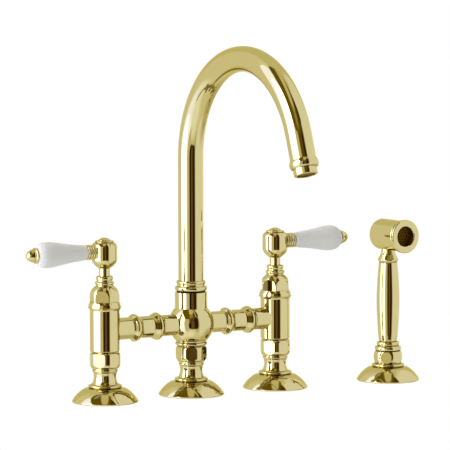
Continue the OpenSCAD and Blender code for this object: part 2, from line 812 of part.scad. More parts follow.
// Deck flanges
function flange_outline(rim_r) = concat(
  [[rim_r - rim_h / 2, 0]],
  arc([rim_r, rim_h], [dome_top_r, dome_z], dome_arc),
  ease_out([dome_top_r, dome_z], [flange_bead_r - flange_bead_d, dome_z + cove_h], 2),
  bead(flange_bead_r - flange_bead_d, flange_bead_r, dome_z + cove_h, flange_h - flange_lip_h),
  [[shank_r + flange_lip_w, flange_h]]
);
module flange_cavity(rim_r, boss_r) {
  rotate_extrude() polygon(concat(
    [[boss_r, -cut], [land_r, -cut]],
    arc([land_r, rim_h], [dome_top_r - flange_wall, dome_z - flange_wall], dome_arc - flange_wall, 4),
    [[boss_r, dome_z - flange_wall]]
  ));
}
module gasket_groove() {
  tube(gasket_r + gasket_w + fit, gasket_r - fit, -cut, gasket_t + fit);
}
module leg_flange() {
  hole_r = shank_r + fit;
  color(gold) difference() {
    turned(flange_outline(flange_r));
    flange_cavity(flange_r, hole_r + flange_wall);
    gasket_groove();
    bore(hole_r, -cut, flange_h + cut);
  }
}
module left_flange() { at_leg(-1) leg_flange(); }
module centre_flange() { at_leg(0) leg_flange(); }
module right_flange() { at_leg(1) leg_flange(); }
module spray_flange() {
  at_spray() color(gold) difference() {
    union() {
      turned(flange_outline(spray_flange_r));
      bore(holder_tube_r, flange_h / 2, holder_top);
    }
    flange_cavity(spray_flange_r, holder_boss_r);
    gasket_groove();
    bore(holder_inlet_r, -cut, holder_inlet_l);
    bore(ledge_r, 0, ledge_z + cut);
    bore(holder_bore_r, ledge_z, holder_top + cut);
  }
}
module gasket() {
  tube(gasket_r + gasket_w, gasket_r, 0, gasket_t);
}
module deck_gaskets() {
  color(black) {
    for (side = [-1:1]) at_leg(side) gasket();
    at_spray() gasket();
  }
}

// Pillars and union nuts
module pillar() {
  color(gold) difference() {
    turned(concat(
      [[shank_r, 0], [shank_r, flange_h]],
      ease_out([foot_r, flange_h], [waist_r, waist_z]),
      ease_in([waist_r, waist_z], [collar_r, collar_z]),
      [[collar_r, collar_z + collar_h], [groove_r, collar_z + collar_h], [groove_r, nut_z]],
      [[thread_r, nut_z], [thread_r, washer_z]]
    ));
    bore(inlet_r, -cut, inlet_l);
    bore(waterway_r, 0, washer_z + cut);
  }
}
module left_pillar() { at_leg(-1) pillar(); }
module centre_pillar() { at_leg(0) pillar(); }
module right_pillar() { at_leg(1) pillar(); }
module union_nut(angle) {
  color(gold) difference() {
    intersection() {
      rotate(angle) prism(nut_af, nut_flats, nut_z, nut_top);
      turned(concat(
        ease_out([nut_turned_r - nut_foot_w, nut_z], [nut_turned_r, nut_z + nut_foot_h], 4),
        shoulder([nut_turned_r, nut_top - nut_round_h], [nut_turned_r - nut_round_w, nut_top], 4)
      ));
    }
    bore(thread_r + fit, nut_z - cut, tail_top + fit);
    bore(tail_neck_r + 2 * fit, nut_z, nut_top + cut);
  }
}
module left_union_nut() { at_leg(-1) union_nut(nut_angles[0]); }
module centre_union_nut() { at_leg(0) union_nut(nut_angles[1]); }
module right_union_nut() { at_leg(1) union_nut(nut_angles[2]); }

// Tail that the union nut pulls down, below the base of a body
module tail() {
  bore(tail_r, tail_z, tail_top);
  bore(tail_neck_r, tail_z, body_z);
}

// Rubber rings of the fixed joints
function tongue_seal_at(from, way) = from + way * tongue_l / 2;
module fixed_seals() {
  color(black) {
    for (side = [-1:1]) at_leg(side) tube(thread_r - fit, waterway_r, washer_z, tail_z);
    for (side = [-1, 1]) {
      at_leg(side) tube(cartridge_r, seal_bore_r, seat_z, disc_z);
      along_bridge() {
        seal_ring(tongue_r + fit / 2, tongue_seal_t, side * tongue_seal_at(centre_arm_l, 1));
        seal_ring(tongue_r + fit / 2, tongue_seal_t, side * tongue_seal_at(coupling_end, -1));
      }
    }
  }
}
module ring_groove(outer_r, ring_t, z) {
  half = ring_t * groove_share / 2;
  tube(outer_r + cut, outer_r - ring_t, z - half, z + half);
}
// Tongue from the start to the end of an arm's plug, with its seal groove
module tongue(z0, z1, seal_z) {
  difference() {
    bore(tongue_r, z0, z1);
    ring_groove(tongue_r, tongue_seal_t, seal_z);
  }
}

// Valve bodies
module valve_body(side) {
  at_leg(side) color(gold) difference() {
    union() {
      tail();
      turned(concat(
        ease_out([body_r - body_foot_w, body_z], [body_r, body_z + body_foot_h], 3),
        ease_in([body_r, rim_z - body_flare_h], [body_rim_r, rim_z]),
        [[body_rim_r, rim_z + body_rim_h]],
        ease_out([body_rim_r - body_step, rim_z + body_rim_h], [body_top_r, body_top])
      ));
      translate([0, 0, bridge_z]) rotate([0, -side * 90, 0]) {
        bore(valve_arm_r, 0, valve_arm_l);
        tongue(0, valve_arm_l + tongue_l, valve_arm_l + tongue_l / 2);
      }
    }
    bore(waterway_r, tail_z - cut, seat_z + cut);
    bore(chamber_r, seat_z, body_top);
    bore(bonnet_spigot_r + fit, chamber_top, body_top + cut);
    translate([0, 0, bridge_z]) rotate([0, -side * 90, 0])
      bore(waterway_r, 0, valve_arm_l + tongue_l + cut);
  }
}
module left_valve_body() { valve_body(-1); }
module right_valve_body() { valve_body(1); }

// Quarter-turn cartridges with two ceramic discs each
module cartridges() {
  color(gold) for (side = [-1, 1]) at_leg(side) difference() {
    union() {
      bore(cartridge_r, disc_z, chamber_top - fit);
      bore(cartridge_neck_r, disc_z, cartridge_top);
    }
    bore(sleeve_r, disc_z - cut, sleeve_top);
    bore(spindle_r + run, disc_z, cartridge_top + cut);
    translate([0, 0, bridge_z]) for (angle = [0, 90])
      rotate([0, 90, angle]) cylinder(r = window_r, h = 2 * chamber_r, center = true);
  }
}
module ceramic_disc(z) {
  difference() {
    bore(disc_r, z, z + disc_t);
    for (angle = [0, 180]) rotate(angle) translate([disc_r / 2, 0, 0])
      bore(disc_r / 4, z - cut, z + disc_t + cut);
  }
}
module fixed_discs() {
  color(white) for (side = [-1, 1]) at_leg(side) rotate(90) ceramic_disc(disc_z);
}
module moving_disc(side) {
  color(white) at_leg(side) ceramic_disc(moving_z);
}
module left_moving_disc() { moving_disc(-1); }
module right_moving_disc() { moving_disc(1); }

// Bonnets and glands
module bonnet(side, angle) {
  corner_r = bonnet_af / 2 / cos(30) - bonnet_edge;
  color(gold) at_leg(side) difference() {
    union() {
      bore(bonnet_spigot_r, chamber_top, body_top + cut);
      intersection() {
        rotate(angle) prism(bonnet_af, 6, body_top, bonnet_top);
        turned(concat(
          [[corner_r, body_top]],
          shoulder([corner_r, body_top + bonnet_flat_h], [bonnet_top_r, bonnet_top], 8)
        ));
      }
    }
    bore(cartridge_neck_r + 2 * fit, chamber_top - cut, bonnet_top + cut);
  }
}
module left_bonnet() { bonnet(-1, bonnet_angles[0]); }
module right_bonnet() { bonnet(1, bonnet_angles[1]); }
module glands() {
  neck_z = bonnet_top + gland_neck_h;
  groove_z = neck_z + gland_bead_h;
  top_z = groove_z + gland_groove_h;
  color(gold) for (side = [-1, 1]) at_leg(side) difference() {
    turned(concat(
      [[cartridge_neck_r, gland_z], [cartridge_neck_r, bonnet_top]],
      [[gland_neck_r, bonnet_top], [gland_neck_r, neck_z]],
      bead(gland_neck_r, gland_bead_r, neck_z, groove_z),
      [[gland_groove_r, groove_z], [gland_groove_r, top_z]],
      bead(gland_groove_r, gland_top_r, top_z, gland_top - gland_lip_h, 4),
      [[gland_groove_r - gland_lip_w, gland_top]]
    ));
    bore(stem_r + run, gland_z - cut, gland_top + cut);
  }
}

// Levers
module spindle(side) {
  at_leg(side) color(gold) difference() {
    union() {
      bore(disc_r - fit, driver_z, driver_z + driver_t);
      bore(spindle_r, driver_z, gland_z + cut);
      bore(stem_r, gland_z, spindle_top);
    }
    bore(screw_r + fit, screw_bottom - cut, spindle_top + cut);
  }
}
module hub_outside() {
  turned(concat(
    ease_out([stem_r + bowl_foot_w, hub_z], [hub_r, side_z]),
    shoulder([hub_r, side_z + hub_side_h], [hub_top_r, hub_top])
  ));
}
module hub(side) {
  color(gold) difference() {
    at_leg(side) hub_outside();
    at_leg(side) {
      bore(stem_r + fit, hub_z - cut, spindle_top + fit);
      bore(screw_r + fit, spindle_top, hub_top);
      bore(screw_head_r + fit, screw_head_z, hub_top);
      bore(cap_plug_r + fit, plug_z, hub_top + cut);
    }
    along_lever(side) bore(rod_r + fit, rod_start - fit, hub_r + cut);
  }
}
module hub_screw(side) {
  at_leg(side) color(steel) difference() {
    union() {
      bore(screw_r, screw_bottom, screw_head_z + cut);
      bore(screw_head_r, screw_head_z, screw_head_z + screw_head_h);
    }
    prism(screw_head_r, 6, screw_head_z + screw_head_h / 3, plug_z);
  }
}
module index_cap(side) {
  cap_top = hub_top + cap_h;
  button_top = cap_top + cap_button_h;
  color(gold) at_leg(side) difference() {
    turned(concat(
      [[cap_plug_r, plug_z], [cap_plug_r, hub_top], [cap_r, hub_top]],
      shoulder([cap_r, cap_top - cap_round_h], [cap_r - cap_round_w, cap_top], 4),
      shoulder([cap_button_r, cap_top + cap_slope_h], [cap_button_top_r, button_top])
    ));
    bore(cap_dimple_r, button_top - cap_dimple_h, button_top + cut);
  }
}
module ferrule(side) {
  rings_l = ferrule_rings * ferrule_pitch;
  color(gold) difference() {
    along_lever(side) turned(concat(
      [[ferrule_r - ferrule_groove, rod_start]],
      [for (i = [0:ferrule_rings - 1])
        let (z = porcelain_start - rings_l + i * ferrule_pitch)
        each bead(ferrule_r - ferrule_groove, ferrule_r, z, z + ferrule_pitch, 4)]
    ));
    at_leg(side) hub_outside();
    along_lever(side) bore(rod_r + fit, 0, porcelain_start + cut);
  }
}
module porcelain(side) {
  widest = porcelain_start + porcelain_swell_l;
  color(white) along_lever(side) difference() {
    turned(concat(
      ease_both([porcelain_neck_r, porcelain_start], [porcelain_r, widest]),
      shoulder([porcelain_r, widest], [porcelain_end_r, widest + porcelain_round_l], 8)
    ));
    bore(rod_r + fit, porcelain_start - cut, widest + porcelain_round_l + cut);
  }
}
// End knob with the long rod that holds the porcelain against the hub
module finial(side) {
  start = porcelain_start + porcelain_swell_l + porcelain_round_l;
  acorn_z = start + finial_ring_h;
  color(gold) along_lever(side) union() {
    bore(rod_r, rod_start, start + cut);
    turned(concat(
      bead(finial_r - finial_bead_d, finial_r, start, acorn_z, 4),
      [[acorn_r, acorn_z]],
      shoulder([acorn_r, acorn_z + acorn_foot_h], [acorn_tip_r, acorn_z + acorn_l], 7)
    ));
  }
}
module left_spindle() { spindle(-1); }
module right_spindle() { spindle(1); }
module left_hub() { hub(-1); }
module right_hub() { hub(1); }
module left_hub_screw() { hub_screw(-1); }
module right_hub_screw() { hub_screw(1); }
module left_index_cap() { index_cap(-1); }
module right_index_cap() { index_cap(1); }
module left_ferrule() { ferrule(-1); }
module right_ferrule() { ferrule(1); }
module left_porcelain() { porcelain(-1); }
module right_porcelain() { porcelain(1); }
module left_finial() { finial(-1); }
module right_finial() { finial(1); }

// Bridge couplings, both with the wider bead on the right
function coupling_bead(z, before, after, n = 8) = [
  for (i = [-n:n]) [
    coupling_r + (coupling_bead_r - coupling_r) * (1 + cos(180 * i / n)) / 2,
    z + i / n * (i < 0 ? before : after)
  ]
];
module bridge_coupling(side) {
  near_fall_l = side > 0 ? coupling_fall_l : coupling_long_fall_l;
  far_fall_l = side > 0 ? coupling_long_fall_l : coupling_fall_l;
  color(gold) translate([0, 0, bridge_z]) rotate([0, side * 90, 0]) difference() {
    turned(concat(
      [[coupling_r, centre_arm_l]],
      coupling_bead(centre_arm_l + coupling_crown_at, coupling_rise_l, near_fall_l),
      coupling_bead(coupling_end - coupling_crown_at, far_fall_l, coupling_rise_l),
      [[coupling_r, coupling_end]]
    ));
    bore(coupling_bore, centre_arm_l - cut, coupling_end + cut);
  }
}
module left_bridge_coupling() { bridge_coupling(-1); }
module right_bridge_coupling() { bridge_coupling(1); }

// Centre body
function ball_height(r) = sqrt(ball_r * ball_r - r * r);
module centre_body() {
  color(gold) difference() {
    union() {
      tail();
      turned(concat(
        bead(base_bead_r - base_bead_d, base_bead_r, body_z, body_z + base_bead_h),
        [[base_neck_r, body_z + base_bead_h]],
        arc(
          [base_neck_r, bridge_z - ball_height(base_neck_r)],
          [tower_r, bridge_z + ball_height(tower_r)],
          ball_r, 18
        ),
        [[tower_r, swivel_z]]
      ));
      for (side = [-1, 1]) translate([0, 0, bridge_z]) rotate([0, side * 90, 0]) {
        bore(centre_arm_r, 0, centre_arm_l);
        tongue(0, centre_arm_l + tongue_l, centre_arm_l + tongue_l / 2);
      }
    }
    bore(waterway_r, tail_z - cut, chamber_floor + cut);
    bore(diverter_r, chamber_floor, diverter_top + cut);
    bore(spigot_r + circlip_proud + 2 * fit, diverter_top, bush_z + cut);
    bore(bush_r + fit, bush_z, swivel_z + cut);
    along_bridge() cylinder(r = waterway_r, h = 2 * (centre_arm_l + tongue_l + cut), center = true);
  }
}
module swivel_bush() {
  color(nylon) difference() {
    union() {
      bore(bush_r, bush_z, swivel_z + bush_flange_t);
      bore(bush_flange_r, swivel_z, swivel_z + bush_flange_t);
    }
    bore(spigot_r + run, bush_z - cut, swivel_z + bush_flange_t + cut);
  }
}

// Diverter that sends the water to the spout or to the rinse
module diverter_body() {
  inner_r = diverter_r - fit - diverter_wall;
  color(gold) difference() {
    bore(diverter_r - fit, chamber_floor, diverter_top - fit);
    bore(diverter_seat_r, chamber_floor - cut, chamber_floor + diverter_floor_t + cut);
    bore(inner_r, chamber_floor + diverter_floor_t, guide_z);
    bore(piston_stem_r + run, guide_z - cut, diverter_top + cut);
    for (angle = [0:90:270]) rotate(angle) translate([(inner_r + piston_stem_r) / 2, 0, 0])
      bore(guide_hole_r, guide_z - cut, diverter_top + cut);
    along_bridge() cylinder(r = port_r, h = 2 * diverter_r + cut, center = true);
  }
}
module diverter_piston() {
  head_bottom = chamber_floor + diverter_floor_t + float;
  color(steel) union() {
    bore(piston_head_r, head_bottom, head_bottom + piston_head_t);
    bore(piston_stem_r, head_bottom, diverter_top + piston_proud);
    bore(spring_r + spring_ledge, spring_seat_z, spring_seat_z + spring_seat_t);
  }
}
module diverter_spring() {
  color(steel) tube(spring_r, piston_stem_r + spring_gap, spring_seat_z + spring_seat_t, guide_z);
}

// Spout
module spout_collar() {
  bead_top = foot_z + foot_bead_h;
  groove_top = bead_top + foot_groove_h;
  color(gold) difference() {
    turned(concat(
      [[spigot_r, spigot_z], [spigot_r, foot_z], [foot_groove_r, foot_z]],
      bead(foot_groove_r, foot_bead_r, foot_z, bead_top),
      [[foot_groove_r, groove_top]],
      bead(foot_groove_r, foot_small_r, groove_top, foot_top - foot_lip_h, 4),
      [[tube_r + foot_lip_w, foot_top]]
    ));
    bore(spigot_bore_r, spigot_z - cut, tube_z + cut);
    bore(tube_r + fit / 2, tube_z, foot_top + cut);
    translate([0, 0, bush_z - circlip_t - float])
      tube(spigot_r + cut, spigot_r - circlip_groove, -fit / 2, circlip_t + fit / 2);
    for (z = seal_heights) ring_groove(spigot_r, spout_seal_t, z);
  }
}
module spout_circlip() {
  bottom = bush_z - circlip_t - float;
  color(steel) difference() {
    tube(spigot_r + circlip_proud, spigot_r - circlip_groove + run, bottom, bush_z - float);
    translate([0, -spigot_r, bottom]) cube([circlip_gap, circlip_gap, 3 * circlip_t], center = true);
  }
}
module spout_seals() {
  color(black) for (z = seal_heights) seal_ring(spigot_r + run / 2, spout_seal_t, z);
}
module bend(r) {
  translate([0, -bend_r, bend_z]) rotate([90, 0, 90])
    rotate_extrude(angle = bend_angle) translate([bend_r, 0]) circle(r = r);
}
module spout_way(r, start) {
  bore(r, start, bend_z);
  bend(r);
}
module spout_tube() {
  color(gold) difference() {
    spout_way(tube_r, tube_z);
    spout_way(tube_r - tube_wall, tube_z - cut);
  }
}
// Turned end of the spout: a straight sleeve in line with the tube, and the ring round the outlet
module spout_end() {
  root = tube_r + outlet_step;
  color(gold) at_outlet() difference() {
    turned(concat(
      [[tube_r, 0], [tube_r, spout_end_l], [root, spout_end_l]],
      bead(root, outlet_ring_r, spout_end_l + outlet_lip, aerator_z - outlet_lip, 8),
      [[aerator_r + outlet_edge, aerator_z]]
    ));
    bore(outlet_bore, -cut, aerator_z + cut);
  }
}
module aerator_housing() {
  thread_z = aerator_z - aerator_thread_l;
  end_z = aerator_z + aerator_l;
  color(gold) at_outlet() difference() {
    turned(concat(
      [[outlet_bore - fit, thread_z], [outlet_bore - fit, aerator_z], [aerator_r, aerator_z]],
      shoulder([aerator_r, end_z - aerator_round_h], [aerator_r - aerator_round_w, end_z], 4)
    ));
    bore(insert_r - insert_ledge_w, thread_z - cut, end_z);
    bore(insert_r + fit, aerator_z + insert_ledge_h, end_z + cut);
  }
}
module aerator_insert() {
  top = aerator_z + insert_ledge_h + fit;
  bottom = aerator_z + aerator_l - insert_recess;
  color(black) at_outlet() difference() {
    bore(insert_r, top, bottom);
    bore(insert_r - insert_wall, top - cut, bottom - insert_floor_t);
    for (ring = [0:insert_rings - 1], i = [0:max(1, 6 * ring) - 1])
      rotate(i * 60 / max(1, ring)) translate([ring * insert_hole_pitch, 0, 0])
        bore(insert_hole_r, bottom - insert_floor_t - cut, bottom + cut);
  }
}

// Rinse holder
module spray_barrel_nut() {
  color(gold) at_spray() difference() {
    intersection() {
      rotate(barrel_angle) prism(barrel_af, barrel_flats, flange_h, barrel_top);
      turned(bead(barrel_r - barrel_bulge, barrel_r, flange_h, barrel_top, 8));
    }
    bore(holder_tube_r + fit, flange_h - cut, holder_top + fit);
    bore(liner_r + fit, flange_h, barrel_top + cut);
  }
}
module holder_liner() {
  color(nylon) at_spray() difference() {
    union() {
      bore(liner_r, ledge_z + fit, barrel_top + fit + liner_flange_t);
      bore(liner_flange_r, barrel_top + fit, barrel_top + fit + liner_flange_t);
    }
    bore(liner_bore, ledge_z - cut, barrel_top + cut + liner_flange_t);
  }
}

// Rinse handset
module handset_base() {
  color(gold) at_handset() difference() {
    turned(concat(
      [[plug_r - plug_chamfer, plug_foot], [plug_r, plug_foot + plug_chamfer], [plug_r, base_z]],
      bead(base_r - base_bulge, base_r, base_z, second_z - base_lip_h),
      [[second_r - second_bulge, second_z]],
      bead(second_r - second_bulge, second_r, second_z + second_lip_h, grip_z - second_lip_h),
      [[grip_end_r, grip_z], [joint_r, grip_z], [joint_r, grip_z + joint_l]]
    ));
    bore(hose_r, plug_foot - cut, plug_foot + hose_l);
    bore(handset_bore_r, plug_foot, grip_z + joint_l + cut);
  }
}
module handset_grip() {
  color(gold) at_handset() difference() {
    turned(concat(
      [[grip_end_r - grip_edge, grip_z]],
      bead(grip_end_r, grip_r, grip_z + grip_edge, grip_top - grip_edge, 14),
      [[grip_end_r - grip_edge, grip_top]]
    ));
    bore(joint_bore, grip_z - cut, grip_top + cut);
  }
}
module handset_head() {
  collar_top = grip_top + top_collar_h;
  color(gold) difference() {
    union() {
      at_handset() turned(concat(
        [[joint_r, grip_top - joint_l], [joint_r, grip_top], [top_lip_r, grip_top]],
        bead(top_lip_r, top_collar_r, grip_top + top_lip_h, collar_top),
        ease_out([top_lip_r, collar_top], [neck_r, head_z - head_r]),
        [[neck_r, head_z]]
      ));
      along_head() turned(concat(
        arc([head_r - head_round, -head_back], [head_r, head_round - head_back], head_round),
        [[head_r, head_front], [head_spigot_r, head_front], [head_spigot_r, head_spigot_z]]
      ));
    }
    at_handset() bore(handset_bore_r, grip_top - joint_l - cut, head_z - head_r / 2);
    along_head() {
      bore(button_r + fit, -head_back - cut, -button_floor);
      bore(button_stem_r + run, -button_floor - cut, guide_front + cut);
      bore(head_r - head_wall, guide_front, seat_start);
      bore(seat_hole_r, seat_start - cut, seat_front + cut);
      bore(plate_r - plate_ledge, seat_front, head_spigot_z + cut);
      bore(head_chamber_r, plate_front - plate_t, head_spigot_z + cut);
    }
  }
}
module face_ring() {
  groove_r = head_r - face_groove_d;
  sleeve_back = plate_front + fit;
  color(gold) along_head() difference() {
    union() {
      turned(concat(
        [[groove_r, head_front], [groove_r, face_back], [face_r - face_edge, face_back]],
        [[face_r, face_back + face_edge]],
        shoulder([face_r, face_front - face_round], [face_r - face_round, face_front], 4)
      ));
      bore(plate_r, sleeve_back, face_front - cut);
    }
    bore(face_opening_r, sleeve_back - cut, face_front + cut);
    tube(head_spigot_r + fit, plate_r, head_front - cut, head_spigot_z + fit);
  }
}
module spray_plate() {
  color(black) along_head() difference() {
    bore(plate_r, plate_front - plate_t, plate_front);
    for (ring = [0:len(jet_counts) - 1], i = [0:jet_counts[ring] - 1])
      rotate(i * 360 / jet_counts[ring]) translate([ring * jet_pitch, 0, 0])
        bore(jet_r, plate_front - plate_t - cut, plate_front + cut);
  }
}
module handset_button() {
  back = -head_back - button_proud;
  color(gold) along_head() union() {
    turned(concat(
      arc([button_r - button_round, back], [button_r, back + button_round], button_round, 4),
      [[button_r, button_front]]
    ));
    bore(button_stem_r, button_front - cut, valve_z + valve_t);
    bore(valve_r, valve_z, valve_z + valve_t);
  }
}
module handset_spring() {
  color(steel) along_head()
    tube(head_spring_r, head_spring_r - head_spring_wire, valve_z + valve_t, plate_front - plate_t);
}

left_flange();
centre_flange();
right_flange();
spray_flange();
deck_gaskets();
left_pillar();
centre_pillar();
right_pillar();
left_union_nut();
centre_union_nut();
right_union_nut();
fixed_seals();
left_valve_body();
right_valve_body();
cartridges();
fixed_discs();
left_bonnet();
right_bonnet();
glands();
left_bridge_coupling();
right_bridge_coupling();
centre_body();
swivel_bush();
diverter_body();
diverter_piston();
diverter_spring();
spout_tube();
spout_collar();
spout_circlip();
spout_seals();
spout_end();
aerator_housing();
aerator_insert();
left_spindle();
left_moving_disc();
left_hub();
left_hub_screw();
left_index_cap();
left_ferrule();
left_porcelain();
left_finial();
right_spindle();
right_moving_disc();
right_hub();
right_hub_screw();
right_index_cap();
right_ferrule();
right_porcelain();
right_finial();
spray_barrel_nut();
holder_liner();
handset_base();
handset_grip();
handset_head();
face_ring();
spray_plate();
handset_button();
handset_spring();
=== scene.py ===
import math

import bmesh
import bpy
from mathutils import Matrix, Vector


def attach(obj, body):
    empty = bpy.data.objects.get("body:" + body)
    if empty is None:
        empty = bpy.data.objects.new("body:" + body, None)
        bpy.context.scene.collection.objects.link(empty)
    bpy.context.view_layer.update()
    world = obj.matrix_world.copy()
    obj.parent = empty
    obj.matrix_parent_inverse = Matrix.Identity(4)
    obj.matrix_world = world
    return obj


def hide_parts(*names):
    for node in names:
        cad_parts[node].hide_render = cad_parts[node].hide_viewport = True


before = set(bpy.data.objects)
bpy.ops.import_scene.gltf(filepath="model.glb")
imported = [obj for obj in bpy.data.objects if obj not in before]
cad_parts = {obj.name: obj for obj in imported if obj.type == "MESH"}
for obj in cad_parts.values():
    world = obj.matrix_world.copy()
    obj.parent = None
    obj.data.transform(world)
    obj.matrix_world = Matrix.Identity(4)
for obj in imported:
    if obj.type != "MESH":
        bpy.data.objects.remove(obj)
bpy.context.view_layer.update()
scene = bpy.context.scene
print("frame loaded:", len(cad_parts), "CAD nodes")

# Camera: a long lens a little above the levers, to the left of the spout. Its place and clipping
# are in metres, its lens and sensor in millimetres and its angles in degrees.
cameraSetup = {
    "place": (-1.9404, -3.2806, 0.5285),
    "heading": 31.13,  # to the right of +Y
    "dip": 5.3,
    "roll": -0.154,
    "lens": 298.9,
    "sensor": 36,
    "nearest": 0.1,
    "furthest": 100,
}


def makeCamera(setup):
    data = bpy.data.cameras.new("productCamera")
    data.lens = setup["lens"]
    data.sensor_width = setup["sensor"]
    data.clip_start = setup["nearest"]
    data.clip_end = setup["furthest"]
    camera = bpy.data.objects.new("productCamera", data)
    heading, dip, roll = [math.radians(setup[angle]) for angle in ("heading", "dip", "roll")]
    turn = Matrix.Rotation(-heading, 4, "Z") @ Matrix.Rotation(math.pi / 2 - dip, 4, "X")
    turn = turn @ Matrix.Rotation(roll, 4, "Z")
    camera.matrix_world = Matrix.Translation(setup["place"]) @ turn
    scene.collection.objects.link(camera)
    scene.camera = camera


makeCamera(cameraSetup)
print("camera placed")

# Every length from here to the studio is in millimetres unless its note says otherwise, and a
# piece is brought to metres when it is finished.
toMetres = 0.001


# Materials. A relief is its strength and its depth in metres.
def perMetre(size):
    # the scale of a pattern, from the size of what it shows
    return 1 / (size * toMetres)


def linearColour(hexCode):
    parts = [int(hexCode[i : i + 2], 16) / 255 for i in (0, 2, 4)]
    return (*[p / 12.92 if p <= 0.04045 else ((p + 0.055) / 1.055) ** 2.4 for p in parts], 1.0)


def fillInputs(tree, node, inputs):
    # an input takes a value, the output of another node, or a node, for its first output
    for socket, value in inputs.items():
        if isinstance(value, bpy.types.Node):
            value = value.outputs[0]
        if isinstance(value, bpy.types.NodeSocket):
            tree.links.new(value, node.inputs[socket])
        else:
            node.inputs[socket].default_value = value


def addNode(tree, kind, inputs=None, **settings):
    node = tree.nodes.new(kind)
    for name, value in settings.items():
        setattr(node, name, value)
    fillInputs(tree, node, inputs or {})
    return node


def startMaterial(name):
    material = bpy.data.materials.new(name)
    material.use_nodes = True
    place = addNode(material.node_tree, "ShaderNodeTexCoord").outputs["Object"]
    return material, material.node_tree, place


def dressShader(tree, look, share, height=None, **inputs):
    # the colour runs between the look's two tones by one pattern, and the relief follows another
    low, high = [linearColour(tone) for tone in look["tones"]]
    tone = addNode(tree, "ShaderNodeMix", {"Factor": share, "A": low, "B": high}, data_type="RGBA")
    inputs["Base Color"] = tone.outputs["Result"]
    if height is not None:
        strength, depth = look["relief"]
        relief = {"Height": height, "Strength": strength, "Distance": depth}
        inputs["Normal"] = addNode(tree, "ShaderNodeBump", relief)
    fillInputs(tree, tree.nodes["Principled BSDF"], {**look["shader"], **inputs})


# Brass turned and mirror polished, under a thin clear lacquer: clean reflections, with a faint
# haze in patches and long buffing waves.
polishedBrassLook = {
    "tones": ("DCCF96", "D9CA8F"),
    "shader": {"Metallic": 1.0, "Specular Tint": linearColour("FBF3CE")},
    "patches": {"Scale": perMetre(15.4), "Detail": 3.0, "Roughness": 0.55},
    "haze": {"From Min": 0.35, "From Max": 0.65, "To Min": 0.008, "To Max": 0.022},
    "waves": {"Scale": perMetre(30.3), "Detail": 1.0},
    "relief": (0.1, 0.0002),
}


def makePolishedBrass(look):
    material, tree, place = startMaterial("polishedBrass")
    patches = addNode(tree, "ShaderNodeTexNoise", {"Vector": place, **look["patches"]}).outputs["Fac"]
    haze = addNode(tree, "ShaderNodeMapRange", {"Value": patches, **look["haze"]})
    waves = addNode(tree, "ShaderNodeTexNoise", {"Vector": place, **look["waves"]}).outputs["Fac"]
    dressShader(tree, look, patches, waves, Roughness=haze)
    return material


# Brass as machined inside the valves: duller, with turning lines about 2 mm apart, coarser than
# real ones so that they show.
waveRepeat = math.tau / 20  # metres from band to band of a wave texture of scale 1
machinedBrassLook = {
    "tones": ("C9A961", "D8BC78"),
    "shader": {"Metallic": 1.0, "Roughness": 0.32},
    "lines": {"Scale": waveRepeat * perMetre(1.96), "Distortion": 1.5, "Detail": 2.0},
    "relief": (0.2, 0.0001),
}


def makeMachinedBrass(look):
    material, tree, place = startMaterial("machinedBrass")
    lines = {"Vector": place, **look["lines"]}
    lines = addNode(tree, "ShaderNodeTexWave", lines, bands_direction="Z").outputs["Fac"]
    dressShader(tree, look, lines, lines)
    return material


# Porcelain, glazed and fired: a cool white body with soft clouds, under a thin glaze that shows
# the studio only as a soft sheen.
porcelainLook = {
    "tones": ("ECEDEE", "E8E9EC"),
    "shader": {
        "Roughness": 0.4, "IOR": 1.52, "Specular IOR Level": 0.15, "Coat Weight": 0.04, "Coat Roughness": 0.1,
    },
    "clouds": {"Scale": perMetre(12.5), "Detail": 2.0},
}


def makeGlazedPorcelain(look):
    material, tree, place = startMaterial("glazedPorcelain")
    clouds = addNode(tree, "ShaderNodeTexNoise", {"Vector": place, **look["clouds"]}).outputs["Fac"]
    dressShader(tree, look, clouds)
    return material


# Plain finishes of the pieces that hardly show, each with a fine speckle of its own grain. What
# is not metal has little gloss.
metal = {"Metallic": 1.0}
dull = {"Metallic": 0.0, "Specular IOR Level": 0.15}
speckleRelief = (0.15, 0.0001)
plainLooks = {
    # ceramic discs, sintered and lapped: warm white with a low sheen
    "sinteredCeramic": {"tones": ("E9E6DF", "F1EFEA"), "shader": {**dull, "Roughness": 0.35}, "grain": 0.8},
    # nitrile rubber, moulded: near black and dull
    "nitrileRubber": {"tones": ("17171A", "232326"), "shader": {**dull, "Roughness": 0.7}, "grain": 0.6},
    # acetal, moulded: black with a faint sheen
    "blackAcetal": {"tones": ("0D0A05", "140F08"), "shader": {**dull, "Roughness": 0.6}, "grain": 1.0},
    # stainless spring steel, drawn: a cool, fairly bright grey
    "springSteel": {"tones": ("B4B6B9", "C8CACC"), "shader": {**metal, "Roughness": 0.22}, "grain": 0.5},
    # nylon, moulded: the dull brown of the spray plate
    "brownNylon": {"tones": ("6E4E06", "6A4B05"), "shader": {**dull, "Roughness": 0.8}, "grain": 2.0},
    # nylon, moulded: the olive of the aerator insert, duller than the brass round it
    "oliveNylon": {"tones": ("8C7A3A", "807034"), "shader": {**dull, "Roughness": 0.6}, "grain": 1.5},
}


def makePlain(name, look):
    material, tree, place = startMaterial(name)
    grain = {"Vector": place, "Scale": perMetre(look["grain"]), "Detail": 2.0}
    speckle = addNode(tree, "ShaderNodeTexNoise", grain).outputs["Fac"]
    dressShader(tree, {**look, "relief": speckleRelief}, speckle, speckle)
    return material


finishes = {name: makePlain(name, look) for name, look in plainLooks.items()}
finishes["polishedBrass"] = makePolishedBrass(polishedBrassLook)
finishes["machinedBrass"] = makeMachinedBrass(machinedBrassLook)
finishes["glazedPorcelain"] = makeGlazedPorcelain(porcelainLook)
print("materials made:", len(finishes))


